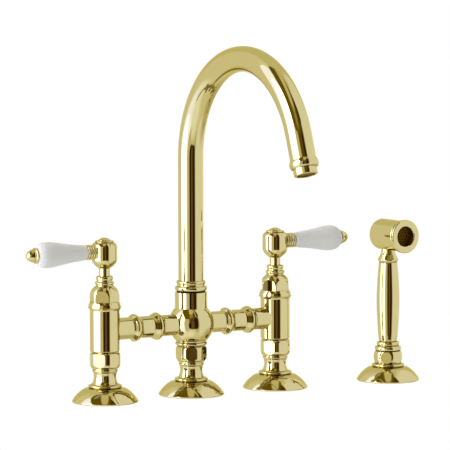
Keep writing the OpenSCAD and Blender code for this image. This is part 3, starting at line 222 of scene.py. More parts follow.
# Outlines: lists of (radius, height)
def arcPoints(centre, radius, start, end, steps=10):
    turns = [math.radians(start + (end - start) * i / steps) for i in range(steps + 1)]
    return [(centre[0] + radius * math.cos(a), centre[1] + radius * math.sin(a)) for a in turns]


def beadPoints(root, crown, low, high, steps=12):
    # an arc that rises from the root radius to the crown radius between two heights
    rise, half = crown - root, (high - low) / 2
    radius = (half * half + rise * rise) / (2 * rise)
    reach = math.degrees(math.atan2(half, radius - rise))
    return arcPoints((crown - radius, (low + high) / 2), radius, -reach, reach, steps)


def smoothPoints(points, steps=4):
    # a smooth curve through the points, in so many steps from each one to the next
    found = []
    for i in range(len(points) - 1):
        a, b, c, d = (Vector(points[max(0, min(len(points) - 1, i + k))]) for k in (-1, 0, 1, 2))
        for j in range(steps):
            t = j / steps
            p = b + 0.5 * t * ((c - a) + t * ((2 * a - 5 * b + 4 * c - d) + t * (3 * (b - c) + d - a)))
            found.append((p.x, p.y))
    found.append(tuple(points[-1]))
    return found


# Solids. A part's dictionary holds its outline, the width of its rounded edges where that is not
# the usual one, and any flats: how many and how far across.
solidSetup = {
    "turns": 96,  # steps round the axis
    "edge": 0.22,
    "edgeSegments": 3,
    "sharpFrom": 28,  # degrees between faces: an edge from here on is rounded
    "creaseFrom": 50,  # degrees between faces: an edge from here on is shaded sharp
    "faceWeight": 80,  # how far the larger faces lead the shading
    "mergeWithin": 1e-4,
    "cutWithin": 1e-5,
}


def addTurned(bm, shape, place, angle=0):
    part = bmesh.new()
    outline = shape["outline"]
    points = [part.verts.new((r, 0, z)) for r, z in outline]
    pairs = list(zip(points, points[1:]))
    if outline[0][0] > 0:  # clear of the axis, so the outline is closed on itself
        pairs.append((points[-1], points[0]))
    wires = [part.edges.new(pair) for pair in pairs]
    bmesh.ops.spin(
        part, geom=points + wires, cent=(0, 0, 0), axis=(0, 0, 1), dvec=(0, 0, 0), angle=math.tau,
        steps=solidSetup["turns"], use_merge=True, use_duplicate=False,
    )
    bmesh.ops.remove_doubles(part, verts=part.verts[:], dist=solidSetup["mergeWithin"])
    bmesh.ops.recalc_face_normals(part, faces=part.faces[:])
    if "flats" in shape:
        cutFlats(part, shape["flats"], shape["across"], angle)
    softenEdges(part, shape.get("edge", solidSetup["edge"]))
    bmesh.ops.transform(part, matrix=place, verts=part.verts[:])
    mergeInto(bm, part)


def cutFlats(part, count, across, angle):
    for i in range(count):
        a = math.radians(angle + 360 / count * (i + 0.5))
        way = Vector((math.cos(a), math.sin(a), 0))
        made = bmesh.ops.bisect_plane(
            part, geom=part.verts[:] + part.edges[:] + part.faces[:], dist=solidSetup["cutWithin"],
            plane_co=way * across / 2, plane_no=way, clear_outer=True,
        )
        rim = [e for e in made["geom_cut"] if isinstance(e, bmesh.types.BMEdge)]
        bmesh.ops.edgeloop_fill(part, edges=rim)
    bmesh.ops.recalc_face_normals(part, faces=part.faces[:])


def softenEdges(part, width):
    limit = math.radians(solidSetup["sharpFrom"])
    sharp = [e for e in part.edges if e.is_manifold and e.calc_face_angle(0) > limit]
    bmesh.ops.bevel(
        part, geom=sharp, offset=width, offset_type="OFFSET", affect="EDGES",
        segments=solidSetup["edgeSegments"], profile=0.5, clamp_overlap=True, material=-1,
    )


def mergeInto(bm, part):
    held = bpy.data.meshes.new("held")
    part.to_mesh(held)
    part.free()
    bm.from_mesh(held)
    bpy.data.meshes.remove(held)


def finishPiece(name, bm, body, node, finish="polishedBrass"):
    bmesh.ops.transform(bm, matrix=Matrix.Scale(toMetres, 4), verts=bm.verts[:])
    mesh = bpy.data.meshes.new(name)
    bm.to_mesh(mesh)
    bm.free()
    mesh.shade_smooth()
    mesh.set_sharp_from_angle(angle=math.radians(solidSetup["creaseFrom"]))
    piece = bpy.data.objects.new(name, mesh)
    scene.collection.objects.link(piece)
    mesh.materials.append(finishes[finish])
    weigh = piece.modifiers.new("evenNormals", "WEIGHTED_NORMAL")
    weigh.weight = solidSetup["faceWeight"]
    weigh.keep_sharp = True
    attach(piece, body)
    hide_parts(node)


def turnedPiece(name, shape, place, body, node, finish="polishedBrass", angle=0):
    bm = bmesh.new()
    addTurned(bm, shape, place, angle)
    finishPiece(name, bm, body, node, finish)


# Places: the legs stand on the X axis, the middle one at the origin.
legPitch = 101.6
bridgeHeight = 73.4
leverHeight = 153.2
sprayStand = (233.5, -13.7, 0)
handsetTurn = 4  # degrees that the rinse head looks to the right
legs = {"left": -legPitch, "centre": 0.0, "right": legPitch}
sides = {"left": -1, "right": 1}
sprayPlace = Matrix.Translation(sprayStand)
handsetPlace = sprayPlace @ Matrix.Rotation(math.radians(handsetTurn), 4, "Z")


def onLeg(leg):
    return Matrix.Translation((legs[leg], 0, 0))


def alongBridge(way, start=0.0):
    # out along the bridge from a leg, to the left (-1) or to the right (1)
    return Matrix.Translation((start, 0, bridgeHeight)) @ Matrix.Rotation(way * math.pi / 2, 4, "Y")


def alongLever(side):
    lift = Matrix.Translation((0, 0, leverHeight))
    return onLeg(side) @ lift @ Matrix.Rotation(sides[side] * math.pi / 2, 4, "Y")


# Deck flanges: a dome with a bead on top, hollow underneath round the boss that holds the pillar
flangeShape = {
    "hollow": [(18.0, 11.9), (24.0, 8.4), (27.5, 2.6), (27.5, 0.0)],
    "rimFoot": [(0.9, 0.0), (0.25, 0.45)],  # how far inside the rim, and the height
    "rimHeight": 1.3,
    "domeTop": (20.4, 14.3),
    "domeArc": 33.0,
    "shoulder": [(19.2, 14.45), (17.2, 14.6), (16.1, 14.75)],
    "bead": beadPoints(15.7, 17.3, 15.0, 17.8),
    "top": (14.5, 18.4),
    "edge": 0.15,
}
legFlange = {"rim": 34.0, "bore": 12.6, "boss": 15.0}
sprayFlange = {"rim": 33.3, "bore": 12.0, "boss": 14.0}
sprayTube = {"outline": [(11.0, 10.5), (12.6, 10.5), (12.6, 29.0), (11.0, 29.0)]}
sprayTubeFloor = {"outline": [(9.6, 9.0), (12.3, 9.0), (12.3, 10.5), (9.6, 10.5)]}


def domeLine(low, high, radius, steps=16):
    # arc between two points of the outline, bulging outwards
    a, b = Vector(low), Vector(high)
    way = b - a
    aside = Vector((-way.y, way.x)).normalized()
    middle = (a + b) / 2 + aside * math.sqrt(radius**2 - way.length_squared / 4)
    start = math.degrees(math.atan2(a.y - middle.y, a.x - middle.x))
    end = math.degrees(math.atan2(b.y - middle.y, b.x - middle.x))
    return arcPoints(middle, radius, start, end, steps)


def flangePart(shape, rim, bore, boss):
    outline = [
        (bore, shape["top"][1]), (bore, 0.0), (boss, 0.0), (boss, shape["hollow"][0][1]), *shape["hollow"],
        *[(rim - inset, height) for inset, height in shape["rimFoot"]],
        *domeLine((rim, shape["rimHeight"]), shape["domeTop"], shape["domeArc"]),
        *shape["shoulder"], *shape["bead"], shape["top"],
    ]
    return {"outline": outline, "edge": shape["edge"]}


for leg in legs:
    flange = flangePart(flangeShape, **legFlange)
    turnedPiece(f"{leg}Flange", flange, onLeg(leg), "fixed_body", f"{leg}_flange")

# the rinse flange carries the tube that the nut screws on
bm = bmesh.new()
addTurned(bm, flangePart(flangeShape, **sprayFlange), sprayPlace)
addTurned(bm, sprayTube, sprayPlace)
addTurned(bm, sprayTubeFloor, sprayPlace)
finishPiece("sprayFlange", bm, "fixed_body", "spray_flange")
print("flanges made")

# Pillars, and the union nuts on them: six flats, with the corners turned off at both ends
waterway = 6.5  # radius of the bore that the water runs through
pillarShape = {
    "outline": [
        (9.3, 0.0), (12.4, 0.0), (12.4, 18.2), (13.6, 18.2),
        *smoothPoints([
            (13.6, 18.6), (12.9, 19.8), (12.2, 21.6), (11.7, 23.6), (11.5, 25.8), (11.65, 28.0), (12.1, 30.0),
            (12.9, 31.5),
        ]),
        *beadPoints(12.9, 13.2, 31.6, 33.3, 6), (12.2, 33.4), (12.2, 34.6), (11.2, 34.6), (11.2, 43.5),
        (waterway, 43.5), (waterway, 15.0), (9.3, 15.0),
    ],
}
nutShape = {
    "outline": [
        (11.3, 34.6), (13.7, 34.6), (14.0, 34.9), (14.6, 35.8), (15.1, 36.6), (15.5, 37.5), (15.75, 38.4),
        (15.9, 39.4), (15.9, 47.9), (15.8, 48.7), (15.5, 49.5), (15.0, 50.2), (14.4, 50.6), (9.9, 50.6),
        (9.9, 47.3), (11.3, 47.3),
    ],
    "edge": 0.3,
    "flats": 6,
    "across": 29.8,
    "angles": {"left": 10, "centre": 31, "right": 4},  # degrees that each nut is turned by
}
for leg in legs:
    turnedPiece(f"{leg}Pillar", pillarShape, onLeg(leg), "fixed_body", f"{leg}_pillar")
    angle = nutShape["angles"][leg]
    turnedPiece(f"{leg}UnionNut", nutShape, onLeg(leg), "fixed_body", f"{leg}_union_nut", angle=angle)
print("pillars and nuts made")

# Valve bodies: a barrel on the union's socket, and an arm that passes into the bridge coupling
spigotRadius = 8.5
unionSocket = [(waterway, 45.0), (11.1, 45.0), (11.1, 47.2), (9.7, 47.2), (9.7, 51.6)]
barrelShape = {
    "outline": [
        *unionSocket, (14.25, 51.6), (14.75, 51.85), (15.1, 52.3), (15.25, 52.8), (15.25, 93.3),
        (15.45, 94.2), (15.9, 95.0), (16.6, 95.8), (17.1, 96.3), (17.1, 97.0), (16.7, 97.1), (16.55, 98.3),
        (16.3, 99.4), (15.75, 101.0), (14.9, 102.4), (12.1, 102.4), (12.1, 94.2), (10.0, 94.2),
        (10.0, 62.0), (waterway, 62.0),
    ],
    "edge": 0.15,
}
valveArm = {"radius": 11.1, "start": 9.5, "shoulder": 28.5, "end": 39.5}


def armPart(radius, start, shoulder, end):
    # a tube that narrows to a spigot at its shoulder
    return {
        "outline": [
            (waterway, start), (radius, start), (radius, shoulder), (spigotRadius, shoulder),
            (spigotRadius, end), (waterway, end),
        ],
    }


for side, way in sides.items():
    bm = bmesh.new()
    addTurned(bm, barrelShape, onLeg(side))
    addTurned(bm, armPart(**valveArm), alongBridge(-way, legs[side]))
    finishPiece(f"{side}ValveBody", bm, "fixed_body", f"{side}_valve_body")

# Bonnets with six flats under a dome, and the glands with two beads on top of them
bonnetShape = {
    "outline": [
        (7.0, 94.3), (12.0, 94.3), (12.0, 102.3), (15.25, 102.3), (15.25, 107.0), (15.15, 109.0),
        (14.8, 110.8), (14.2, 112.6), (13.3, 114.3), (12.2, 115.8), (10.8, 117.2), (9.2, 118.5), (7.0, 118.6),
    ],
    "edge": 0.25,
    "flats": 6,
    "across": 27.0,
    "angles": {"left": 19, "right": 1},  # degrees that each bonnet is turned by
}
glandShape = {
    "outline": [
        (5.55, 112.2), (6.8, 112.2), (6.8, 118.4), (8.9, 118.6), (8.8, 119.7),
        *beadPoints(8.9, 9.9, 119.8, 122.8, 10), (8.2, 123.1), (8.2, 124.2),
        *beadPoints(8.1, 8.8, 124.4, 128.0, 10), (7.4, 128.6), (5.55, 128.7),
    ],
    "edge": 0.15,
}
for side in sides:
    angle = bonnetShape["angles"][side]
    turnedPiece(f"{side}Bonnet", bonnetShape, onLeg(side), "fixed_body", f"{side}_bonnet", angle=angle)
bm = bmesh.new()
for side in sides:
    addTurned(bm, glandShape, onLeg(side))
finishPiece("glandNuts", bm, "fixed_body", "glands")
print("valves made")

# Levers. The stem, hub and cap stand upright on the leg; the ferrule, porcelain and finial lie
# along the lever, and their heights are measured outwards from the leg's middle.
stemShape = {
    "outline": [
        (0.0, 69.1), (8.1, 69.1), (8.1, 70.6), (4.0, 70.6), (4.0, 113.0), (5.5, 113.2), (5.5, 148.9),
        (2.0, 148.9), (2.0, 140.1), (0.0, 140.1),
    ],
}
hubShape = {
    "outline": [
        (5.6, 136.2),
        *smoothPoints([
            (6.0, 136.2), (6.8, 137.0), (8.2, 138.0), (9.3, 139.0), (10.25, 140.0), (11.1, 141.0),
            (11.85, 142.0), (12.45, 143.0), (12.85, 144.2), (13.1, 145.6),
        ], 2),
        (13.1, 157.4),
        *smoothPoints([
            (13.05, 158.2), (12.85, 159.2), (12.4, 160.2), (11.7, 161.2), (10.9, 162.0), (10.3, 162.4),
        ], 2),
        (7.5, 162.4), (7.5, 159.4), (4.1, 159.4), (4.1, 156.3), (2.0, 156.3), (2.0, 149.2), (5.6, 149.2),
    ],
    "edge": 0.2,
}
capShape = {
    "outline": [
        (0.0, 159.4), (7.4, 159.4), (7.4, 162.45), (9.2, 162.45), *beadPoints(9.2, 9.7, 162.9, 164.1, 6),
        (8.9, 164.4), (7.6, 164.55), (6.2, 164.65),
        *smoothPoints([
            (6.15, 164.9), (5.6, 165.5), (4.6, 166.2), (3.2, 166.9), (1.6, 167.3), (0.9, 167.35),
        ], 3),
        (0.8, 166.6), (0.0, 166.6),  # the dimple
    ],
    "edge": 0.12,
}
ferruleShape = {
    "bore": 3.1, "root": 6.5, "crown": 7.7, "start": 10.7, "end": 22.0, "rings": 4, "pitch": 2.7,
    "gap": 0.05,  # from a ring to the edge of its pitch
    "edge": 0.1,
}
porcelainShape = {
    "outline": [
        (3.1, 22.0), (6.6, 22.0), (7.2, 22.3), (7.5, 22.7),
        *smoothPoints([
            (7.65, 23.3), (7.85, 26.0), (8.3, 30.0), (9.4, 40.0), (11.0, 50.0), (12.4, 58.0), (13.0, 64.0),
            (13.08, 67.5), (12.4, 72.0), (10.6, 75.5), (8.6, 77.6),
        ]),
        (7.9, 78.2), (7.3, 78.5), (3.1, 78.5),
    ],
    "edge": 0.3,
}
finialShape = {
    "outline": [
        (0.0, 8.2), (2.6, 8.2), (3.0, 8.6), (3.0, 78.55), (7.2, 78.55), *beadPoints(7.2, 8.0, 78.6, 80.4, 8),
        (6.7, 80.6),
        *smoothPoints([
            (6.6, 80.9), (6.55, 82.2), (6.15, 83.9), (5.3, 85.8), (4.1, 87.4), (2.7, 88.6), (1.3, 89.2),
        ], 3),
        (0.0, 89.35),
    ],
    "edge": 0.15,
}


def ferrulePart(shape):
    bore, root, start, end = [shape[key] for key in ("bore", "root", "start", "end")]
    pitch, gap = shape["pitch"], shape["gap"]
    rings = []
    for i in range(shape["rings"]):
        low = start + i * pitch
        rings += beadPoints(root, shape["crown"], low + gap, low + pitch - gap, 8)
    outline = [(bore, start), (root, start), *rings, (root, end), (bore, end)]
    return {"outline": outline, "edge": shape["edge"]}


for side in sides:
    body, upright, outwards = f"{side}_lever", onLeg(side), alongLever(side)
    turnedPiece(f"{side}Stem", stemShape, upright, body, f"{side}_spindle")
    turnedPiece(f"{side}Hub", hubShape, upright, body, f"{side}_hub")
    turnedPiece(f"{side}Cap", capShape, upright, body, f"{side}_index_cap")
    turnedPiece(f"{side}Ferrule", ferrulePart(ferruleShape), outwards, body, f"{side}_ferrule")
    turnedPiece(f"{side}Porcelain", porcelainShape, outwards, body, f"{side}_porcelain", "glazedPorcelain")
    turnedPiece(f"{side}Finial", finialShape, outwards, body, f"{side}_finial")
print("levers made")

# Bridge couplings: a tube with two beads, each steeper towards its end of the coupling. They are
# measured outwards from the middle of the centre body, and both have the wider bead on the right.
couplingShape = {
    "bore": 8.6, "root": 11.0, "crown": 14.05, "start": 36.0, "end": 73.1,
    "lip": [(0.25, 0.0), (0.2, 0.3)],  # how far below the root, and how far from the end
    "leftBead": {"inset": 5.1, "outside": 4.7, "inside": 7.2},
    "rightBead": {"inset": 5.3, "outside": 4.5, "inside": 8.4},
    "edge": 0.12,
}
beadOrder = {"left": ("rightBead", "leftBead"), "right": ("leftBead", "rightBead")}


def slopePoints(shape, crownAt, rootAt, steps=12):
    # from the crown of a bead down to the straight part
    root, half = shape["root"], (shape["crown"] - shape["root"]) / 2
    turns = [math.pi * i / steps for i in range(steps + 1)]
    return [(root + half * (1 + math.cos(a)), crownAt + (rootAt - crownAt) * a / math.pi) for a in turns]


def couplingPart(shape, first, second):
    # first: the bead nearer to the centre body
    start, end, root = shape["start"], shape["end"], shape["root"]
    low, high = start + first["inset"], end - second["inset"]
    outline = [
        (shape["bore"], start), *[(root - down, start + along) for down, along in shape["lip"]],
        *reversed(slopePoints(shape, low, low - first["outside"])),
        *slopePoints(shape, low, low + first["inside"])[1:],
        *reversed(slopePoints(shape, high, high - second["inside"])),
        *slopePoints(shape, high, high + second["outside"])[1:],
        *[(root - down, end - along) for down, along in reversed(shape["lip"])], (shape["bore"], end),
    ]
    return {"outline": outline, "edge": shape["edge"]}


for side, way in sides.items():
    coupling = couplingPart(couplingShape, *[couplingShape[bead] for bead in beadOrder[side]])
    turnedPiece(f"{side}Coupling", coupling, alongBridge(way), "fixed_body", f"{side}_bridge_coupling")

# Centre body: a bead, a ball and a tower on the union's socket, with an arm to each side
centreShape = {
    "foot": [(15.0, 51.6), *beadPoints(15.1, 16.65, 51.7, 54.9, 10), (15.7, 55.2), (15.8, 55.9)],
    "ball": 23.3,
    "neck": 15.9,
    "tower": 16.7,
    "towerTop": 106.3,
    "ballSteps": 40,
    "inside": [
        (14.5, 106.3), (14.5, 88.0), (13.7, 88.0), (13.7, 84.0), (9.0, 84.0), (9.0, 54.0), (waterway, 54.0),
    ],
    "edge": 0.15,
}
centreArm = {"radius": 10.8, "start": 18.0, "shoulder": 36.0, "end": 47.0}
bushShape = {
    "outline": [(13.05, 88.0), (14.25, 88.0), (14.25, 106.3), (14.7, 106.3), (14.7, 107.5), (13.05, 107.5)],
    "edge": 0.1,
}


def centrePart(shape):
    # the ball's arc runs from where it meets the neck to where it meets the tower
    low = -math.degrees(math.acos(shape["neck"] / shape["ball"]))
    high = math.degrees(math.acos(shape["tower"] / shape["ball"]))
    ball = arcPoints((0.0, bridgeHeight), shape["ball"], low, high, shape["ballSteps"])
    top = (shape["tower"], shape["towerTop"])
    return {"outline": [*unionSocket, *shape["foot"], *ball, top, *shape["inside"]], "edge": shape["edge"]}


bm = bmesh.new()
addTurned(bm, centrePart(centreShape), onLeg("centre"))
for way in sides.values():
    addTurned(bm, armPart(**centreArm), alongBridge(way))
finishPiece("centreBody", bm, "fixed_body", "centre_body")
turnedPiece("swivelBush", bushShape, onLeg("centre"), "fixed_body", "swivel_bush", "blackAcetal")
print("bridge made")

# Spout: a beaded foot that turns in the bush, a bent tube, and a turned end with the aerator.
# The end and the aerator are measured along the tube from the end of its bend. The rings at 1.0
# and 22.2 keep the shading of the end's long wall even.
footShape = {
    "outline": [
        (10.5, 85.9), (13.0, 85.9), (13.0, 107.65), (14.6, 107.65), (15.4, 107.7),
        *beadPoints(15.6, 16.75, 107.75, 112.3, 12), (14.6, 112.6), (14.45, 113.0), (14.45, 114.1),
        (14.6, 114.5), *beadPoints(14.5, 15.15, 114.7, 117.8, 10), (13.9, 118.2), (13.05, 118.25),
        (13.05, 109.15), (10.5, 109.15),
    ],
    "edge": 0.15,
}
tubeShape = {
    "radius": 13.0,
    "wall": 1.2,
    "foot": 109.2,
    "bendHeight": 242.45,
    "bend": 106.9,
    "angle": 160.9,  # degrees
    "bendSteps": 120,
    "endRing": 2.0,  # length of the first and last ring of the straight part
}
outletShape = {
    "outline": [
        (10.4, 0.0), (13.0, 0.0), (13.0, 1.0), (13.0, 22.2), (13.0, 23.0), (13.3, 23.1), (13.35, 23.45),
        *beadPoints(13.35, 14.65, 23.5, 31.4, 16), (13.0, 31.55), (12.6, 31.7), (12.6, 32.0), (10.4, 32.0),
    ],
    "edge": 0.1,
}
housingShape = {
    "outline": [
        (8.0, 26.0), (10.3, 26.0), (10.3, 32.0), (11.8, 32.0), (11.9, 32.4), (11.9, 37.7), (11.7, 38.4),
        (11.1, 38.8), (9.3, 38.8), (9.3, 33.0), (8.0, 33.0),
    ],
    "edge": 0.15,
}


def sweepWall(bm, shape, radius):
    # one wall of the tube, up the column and round the bend; gives the edges of both ends
    start, top = shape["foot"], shape["bendHeight"]
    circle = bmesh.ops.create_circle(bm, cap_ends=False, segments=solidSetup["turns"], radius=radius)
    ring = circle["verts"]
    bmesh.ops.translate(bm, vec=(0, 0, start), verts=ring)
    footEdges = edges = list({e for v in ring for e in v.link_edges})
    for stop in (start + shape["endRing"], (start + top) / 2, top - shape["endRing"], top):
        made = bmesh.ops.extrude_edge_only(bm, edges=edges)["geom"]
        ring = [g for g in made if isinstance(g, bmesh.types.BMVert)]
        edges = [g for g in made if isinstance(g, bmesh.types.BMEdge) and all(v in ring for v in g.verts)]
        bmesh.ops.translate(bm, vec=(0, 0, stop - ring[0].co.z), verts=ring)
    made = bmesh.ops.spin(
        bm, geom=ring + edges, cent=(0, -shape["bend"], top), axis=(1, 0, 0), dvec=(0, 0, 0),
        angle=math.radians(shape["angle"]), steps=shape["bendSteps"], use_merge=False, use_duplicate=False,
    )["geom_last"]
    return footEdges, [g for g in made if isinstance(g, bmesh.types.BMEdge)]


def outletPlace(shape):
    a = math.radians(shape["angle"])
    end = Vector((0, -shape["bend"] * (1 - math.cos(a)), shape["bendHeight"] + shape["bend"] * math.sin(a)))
    return Matrix.Translation(end) @ Matrix.Rotation(a, 4, "X")


turnedPiece("spoutFoot", footShape, onLeg("centre"), "spout", "spout_collar")
bm = bmesh.new()
outerEnds = sweepWall(bm, tubeShape, tubeShape["radius"])
innerEnds = sweepWall(bm, tubeShape, tubeShape["radius"] - tubeShape["wall"])
for outerEdges, innerEdges in zip(outerEnds, innerEnds):
    bmesh.ops.bridge_loops(bm, edges=outerEdges + innerEdges)
bmesh.ops.recalc_face_normals(bm, faces=bm.faces[:])
finishPiece("spoutTube", bm, "spout", "spout_tube")
turnedPiece("spoutEnd", outletShape, outletPlace(tubeShape), "spout", "spout_end")
turnedPiece("aeratorHousing", housingShape, outletPlace(tubeShape), "spout", "aerator_housing")
print("spout made")

# Rinse holder: a barrel nut with six small flats, and the liner that the handset stands in
barrelNutShape = {
    "outline": [
        (12.7, 18.4), (13.6, 18.4),
        *smoothPoints([
            (13.7, 18.6), (14.1, 19.4), (14.5, 20.6), (14.85, 22.6), (15.0, 24.7), (14.9, 26.8), (14.6, 28.7),
            (14.15, 30.1), (13.7, 31.0),
        ], 3),
        (13.5, 31.1), (11.1, 31.1), (11.1, 29.1), (12.7, 29.1),
    ],
    "edge": 0.25,
    "flats": 6,
    "across": 27.7,
    "angle": 18,
}
linerShape = {
    "outline": [(9.1, 10.6), (10.9, 10.6), (10.9, 31.2), (12.6, 31.2), (12.6, 31.55), (9.1, 31.55)],
    "edge": 0.08,
}
angle = barrelNutShape["angle"]
turnedPiece("sprayBarrelNut", barrelNutShape, sprayPlace, "fixed_body", "spray_barrel_nut", angle=angle)
turnedPiece("holderLiner", linerShape, sprayPlace, "holder_swivel", "holder_liner", "blackAcetal")

# Rinse handset. The base, grip and neck stand upright; the head, face ring and button lie along
# the head, and their heights are measured forwards from the handset's middle.
baseShape = {
    "outline": [
        (6.95, 11.7), (8.0, 11.7), (9.0, 12.7), (9.0, 31.7), (13.0, 31.7),
        *beadPoints(13.2, 14.1, 31.8, 36.1, 10), (12.6, 36.5), (11.2, 36.8),
        *beadPoints(11.3, 12.1, 37.1, 40.9, 10), (10.6, 41.2), (9.8, 41.3), (7.5, 41.3), (7.5, 51.3),
        (5.0, 51.3), (5.0, 20.7), (6.95, 20.7),
    ],
    "edge": 0.15,
}
gripShape = {
    "outline": [
        (7.6, 41.35), (9.2, 41.35),
        *smoothPoints([
            (9.5, 41.7), (9.75, 43.0), (10.1, 46.0), (10.5, 50.0), (11.15, 60.0), (11.75, 70.0), (12.1, 80.0),
            (12.1, 90.0), (11.65, 100.0), (11.1, 110.0), (10.4, 119.0), (9.9, 124.2),
        ]),
        (9.5, 125.15), (7.6, 125.15),
    ],
    "edge": 0.15,
}
neckShape = {
    "outline": [
        (5.0, 115.2), (7.5, 115.2), (7.5, 125.25), (9.4, 125.25), (9.5, 125.7),
        *beadPoints(9.8, 10.85, 126.0, 129.6, 10)[:7],  # the bead runs out into the neck
        *smoothPoints([
            (10.5, 128.9), (9.9, 129.9), (9.1, 131.4), (8.3, 133.0), (7.7, 134.7), (7.3, 136.6),
            (7.15, 138.5),
        ], 3),
        (7.15, 148.0), (5.0, 148.0),
    ],
    "edge": 0.15,
}
headShape = {
    "height": 154.3,
    "outline": [
        (6.6, -9.0), (6.6, -14.4), *arcPoints((11.2, -9.4), 5.0, -90, 0, 12), (16.2, 24.0), (16.2, 24.6),
        (16.0, 25.1), (15.6, 25.5), (13.3, 25.5), (13.3, 28.4), (11.9, 28.4), (11.9, 19.5), (11.0, 19.5),
        (11.0, 9.0), (4.0, 9.0), (4.0, 6.0), (10.9, 6.0), (10.9, -5.5), (2.05, -5.5), (2.05, -9.0),
    ],
    "edge": 0.15,
}
faceShape = {
    "outline": [
        (10.6, 22.1), (11.8, 22.1), (11.8, 28.6), (13.4, 28.6), (13.4, 25.55), (14.2, 25.55), (14.2, 27.0),
        (16.6, 27.0), (17.3, 27.5), (17.65, 28.1), (17.65, 29.4), (17.4, 30.1), (16.8, 30.5), (11.4, 30.5),
        (10.6, 29.9),
    ],
    "edge": 0.15,
}
buttonShape = {
    "outline": [
        (0.0, -18.5), (4.6, -18.5), *arcPoints((5.0, -17.0), 1.5, -75, 0, 8), (6.5, -12.2), (2.0, -12.2),
        (2.0, 9.1), (6.0, 9.1), (6.0, 11.6), (0.0, 11.6),
    ],
    "edge": 0.12,
}
headPlace = handsetPlace @ Matrix.Translation((0, 0, headShape["height"]))
headPlace = headPlace @ Matrix.Rotation(math.pi / 2, 4, "X")
turnedPiece("handsetBase", baseShape, handsetPlace, "handset", "handset_base")
turnedPiece("handsetGrip", gripShape, handsetPlace, "handset", "handset_grip")
bm = bmesh.new()
addTurned(bm, neckShape, handsetPlace)
addTurned(bm, headShape, headPlace)
finishPiece("handsetHead", bm, "handset", "handset_head")
turnedPiece("faceRing", faceShape, headPlace, "handset", "face_ring")
turnedPiece("handsetButton", buttonShape, headPlace, "button", "handset_button")
print("rinse made")

# CAD nodes that stay, with their finishes
innerFinishes = {
    "machinedBrass": ["cartridges", "diverter_body"],
    "sinteredCeramic": ["fixed_discs", "left_moving_disc", "right_moving_disc"],
    "nitrileRubber": ["deck_gaskets", "fixed_seals", "spout_seals"],
    "springSteel": [
        "diverter_piston", "diverter_spring", "spout_circlip", "left_hub_screw", "right_hub_screw",
        "handset_spring",
    ],
    "brownNylon": ["spray_plate"],
    "oliveNylon": ["aerator_insert"],
}
for finish, nodes in innerFinishes.items():
    for node in nodes:
        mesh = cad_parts[node].data
        mesh.materials.clear()
        mesh.materials.append(finishes[finish])
print("inner nodes dressed")

# Studio: soft boxes and dark cards far around the object. Each one is a rounded patch: the azimuth
# to the right of the camera and the elevation of its middle, its half width and half height, all
# in degrees, the share of that size over which its edge fades, and a linear colour. A card
# overhead is placed by degrees from the zenith to the right and towards the camera. A higher
# power gives squarer corners, and a later card covers an earlier one.
studioSetup = {
    "room": (0.56, 0.55, 0.38),
    "level": 1.25,
    "laterLevel": 0.6,  # share of that level in a reflection of a reflection
    "laterFrom": 2.5,  # ray depth
    "power": 4,
    "mapSize": 512,  # pixels of the map that the light is sampled by
}
studioCards = {
    "table": {"at": (0, -95), "half": (600, 61), "soft": 0.2, "light": (0.645, 0.635, 0.50)},
    "tableGlow": {"at": (-50, -46), "half": (72, 19), "soft": 0.4, "light": (0.83, 0.86, 0.90)},
    "leftWall": {"at": (-116, -5), "half": (20, 60), "soft": 0.3, "light": (0.66, 0.65, 0.56)},
    "rightWall": {"at": (93, 8), "half": (51, 60), "soft": 0.1, "light": (0.745, 0.757, 0.79)},
    "tableShade": {"at": (128, -42), "half": (40, 24), "soft": 0.4, "light": (0.48, 0.45, 0.29)},
    "wallEdge": {"at": (36, 10), "half": (8, 45), "soft": 0.3, "light": (0.46, 0.43, 0.25)},
    "paperRight": {"at": (162, -4), "half": (28, 11), "soft": 0.4, "light": (0.80, 0.84, 0.98)},
    "paperLeft": {"at": (-163, -8), "half": (22, 13), "soft": 0.4, "light": (0.72, 0.75, 0.84)},
    "boxTop": {"at": (-84, 52), "half": (30, 14), "soft": 0.4, "light": (0.72, 0.72, 0.62)},
    "boxGlow": {"at": (-66, 6), "half": (31.5, 42), "soft": 0.25, "light": (0.99, 1.07, 1.7)},
    "boxLeft": {"at": (-88, 27), "half": (14, 29), "soft": 0.07, "light": (1.05, 1.13, 1.8)},
    "boxFoot": {"at": (-42, -17), "half": (11.5, 17), "soft": 0.15, "light": (1.05, 1.12, 1.75)},
    "softBox": {"at": (-64, 12), "half": (26, 35), "soft": 0.08, "power": 2.3, "light": (3.4, 3.4, 3.4)},
    "gap": {"at": (-21, -2), "half": (10, 31), "soft": 0.25, "light": (0.55, 0.52, 0.35)},
    "upperDark": {"at": (14.5, 36), "half": (25.5, 24), "soft": 0.15, "light": (0.10, 0.068, 0.003)},
    "upperRight": {"at": (36, 60), "half": (14, 20), "soft": 0.1, "light": (0.07, 0.042, 0.002)},
    "stand": {"at": (13, -1), "half": (24, 20.5), "soft": 0.06, "light": (0.075, 0.045, 0.012)},
    "standLeft": {"at": (-4, -6), "half": (5.5, 12), "soft": 0.15, "light": (0.015, 0.005, 0.0)},
    "standRight": {"at": (27.5, 6), "half": (11.5, 27), "soft": 0.1, "light": (0.03, 0.012, 0.001)},
    "standGlint": {"at": (11, 0), "half": (7, 17), "soft": 0.15, "light": (0.125, 0.078, 0.036)},
    "canopy": {
        "over": (-10.5, 25.5), "half": (26, 34), "soft": 0.06, "power": 3, "light": (0.13, 0.09, 0.004),
    },
    "upperGlint": {"at": (1, 48), "half": (10, 12), "soft": 0.6, "light": (0.32, 0.26, 0.10)},
    "canopyGap": {"over": (-0.5, 14), "half": (9, 22), "soft": 0.25, "light": (0.57, 0.52, 0.32)},
}


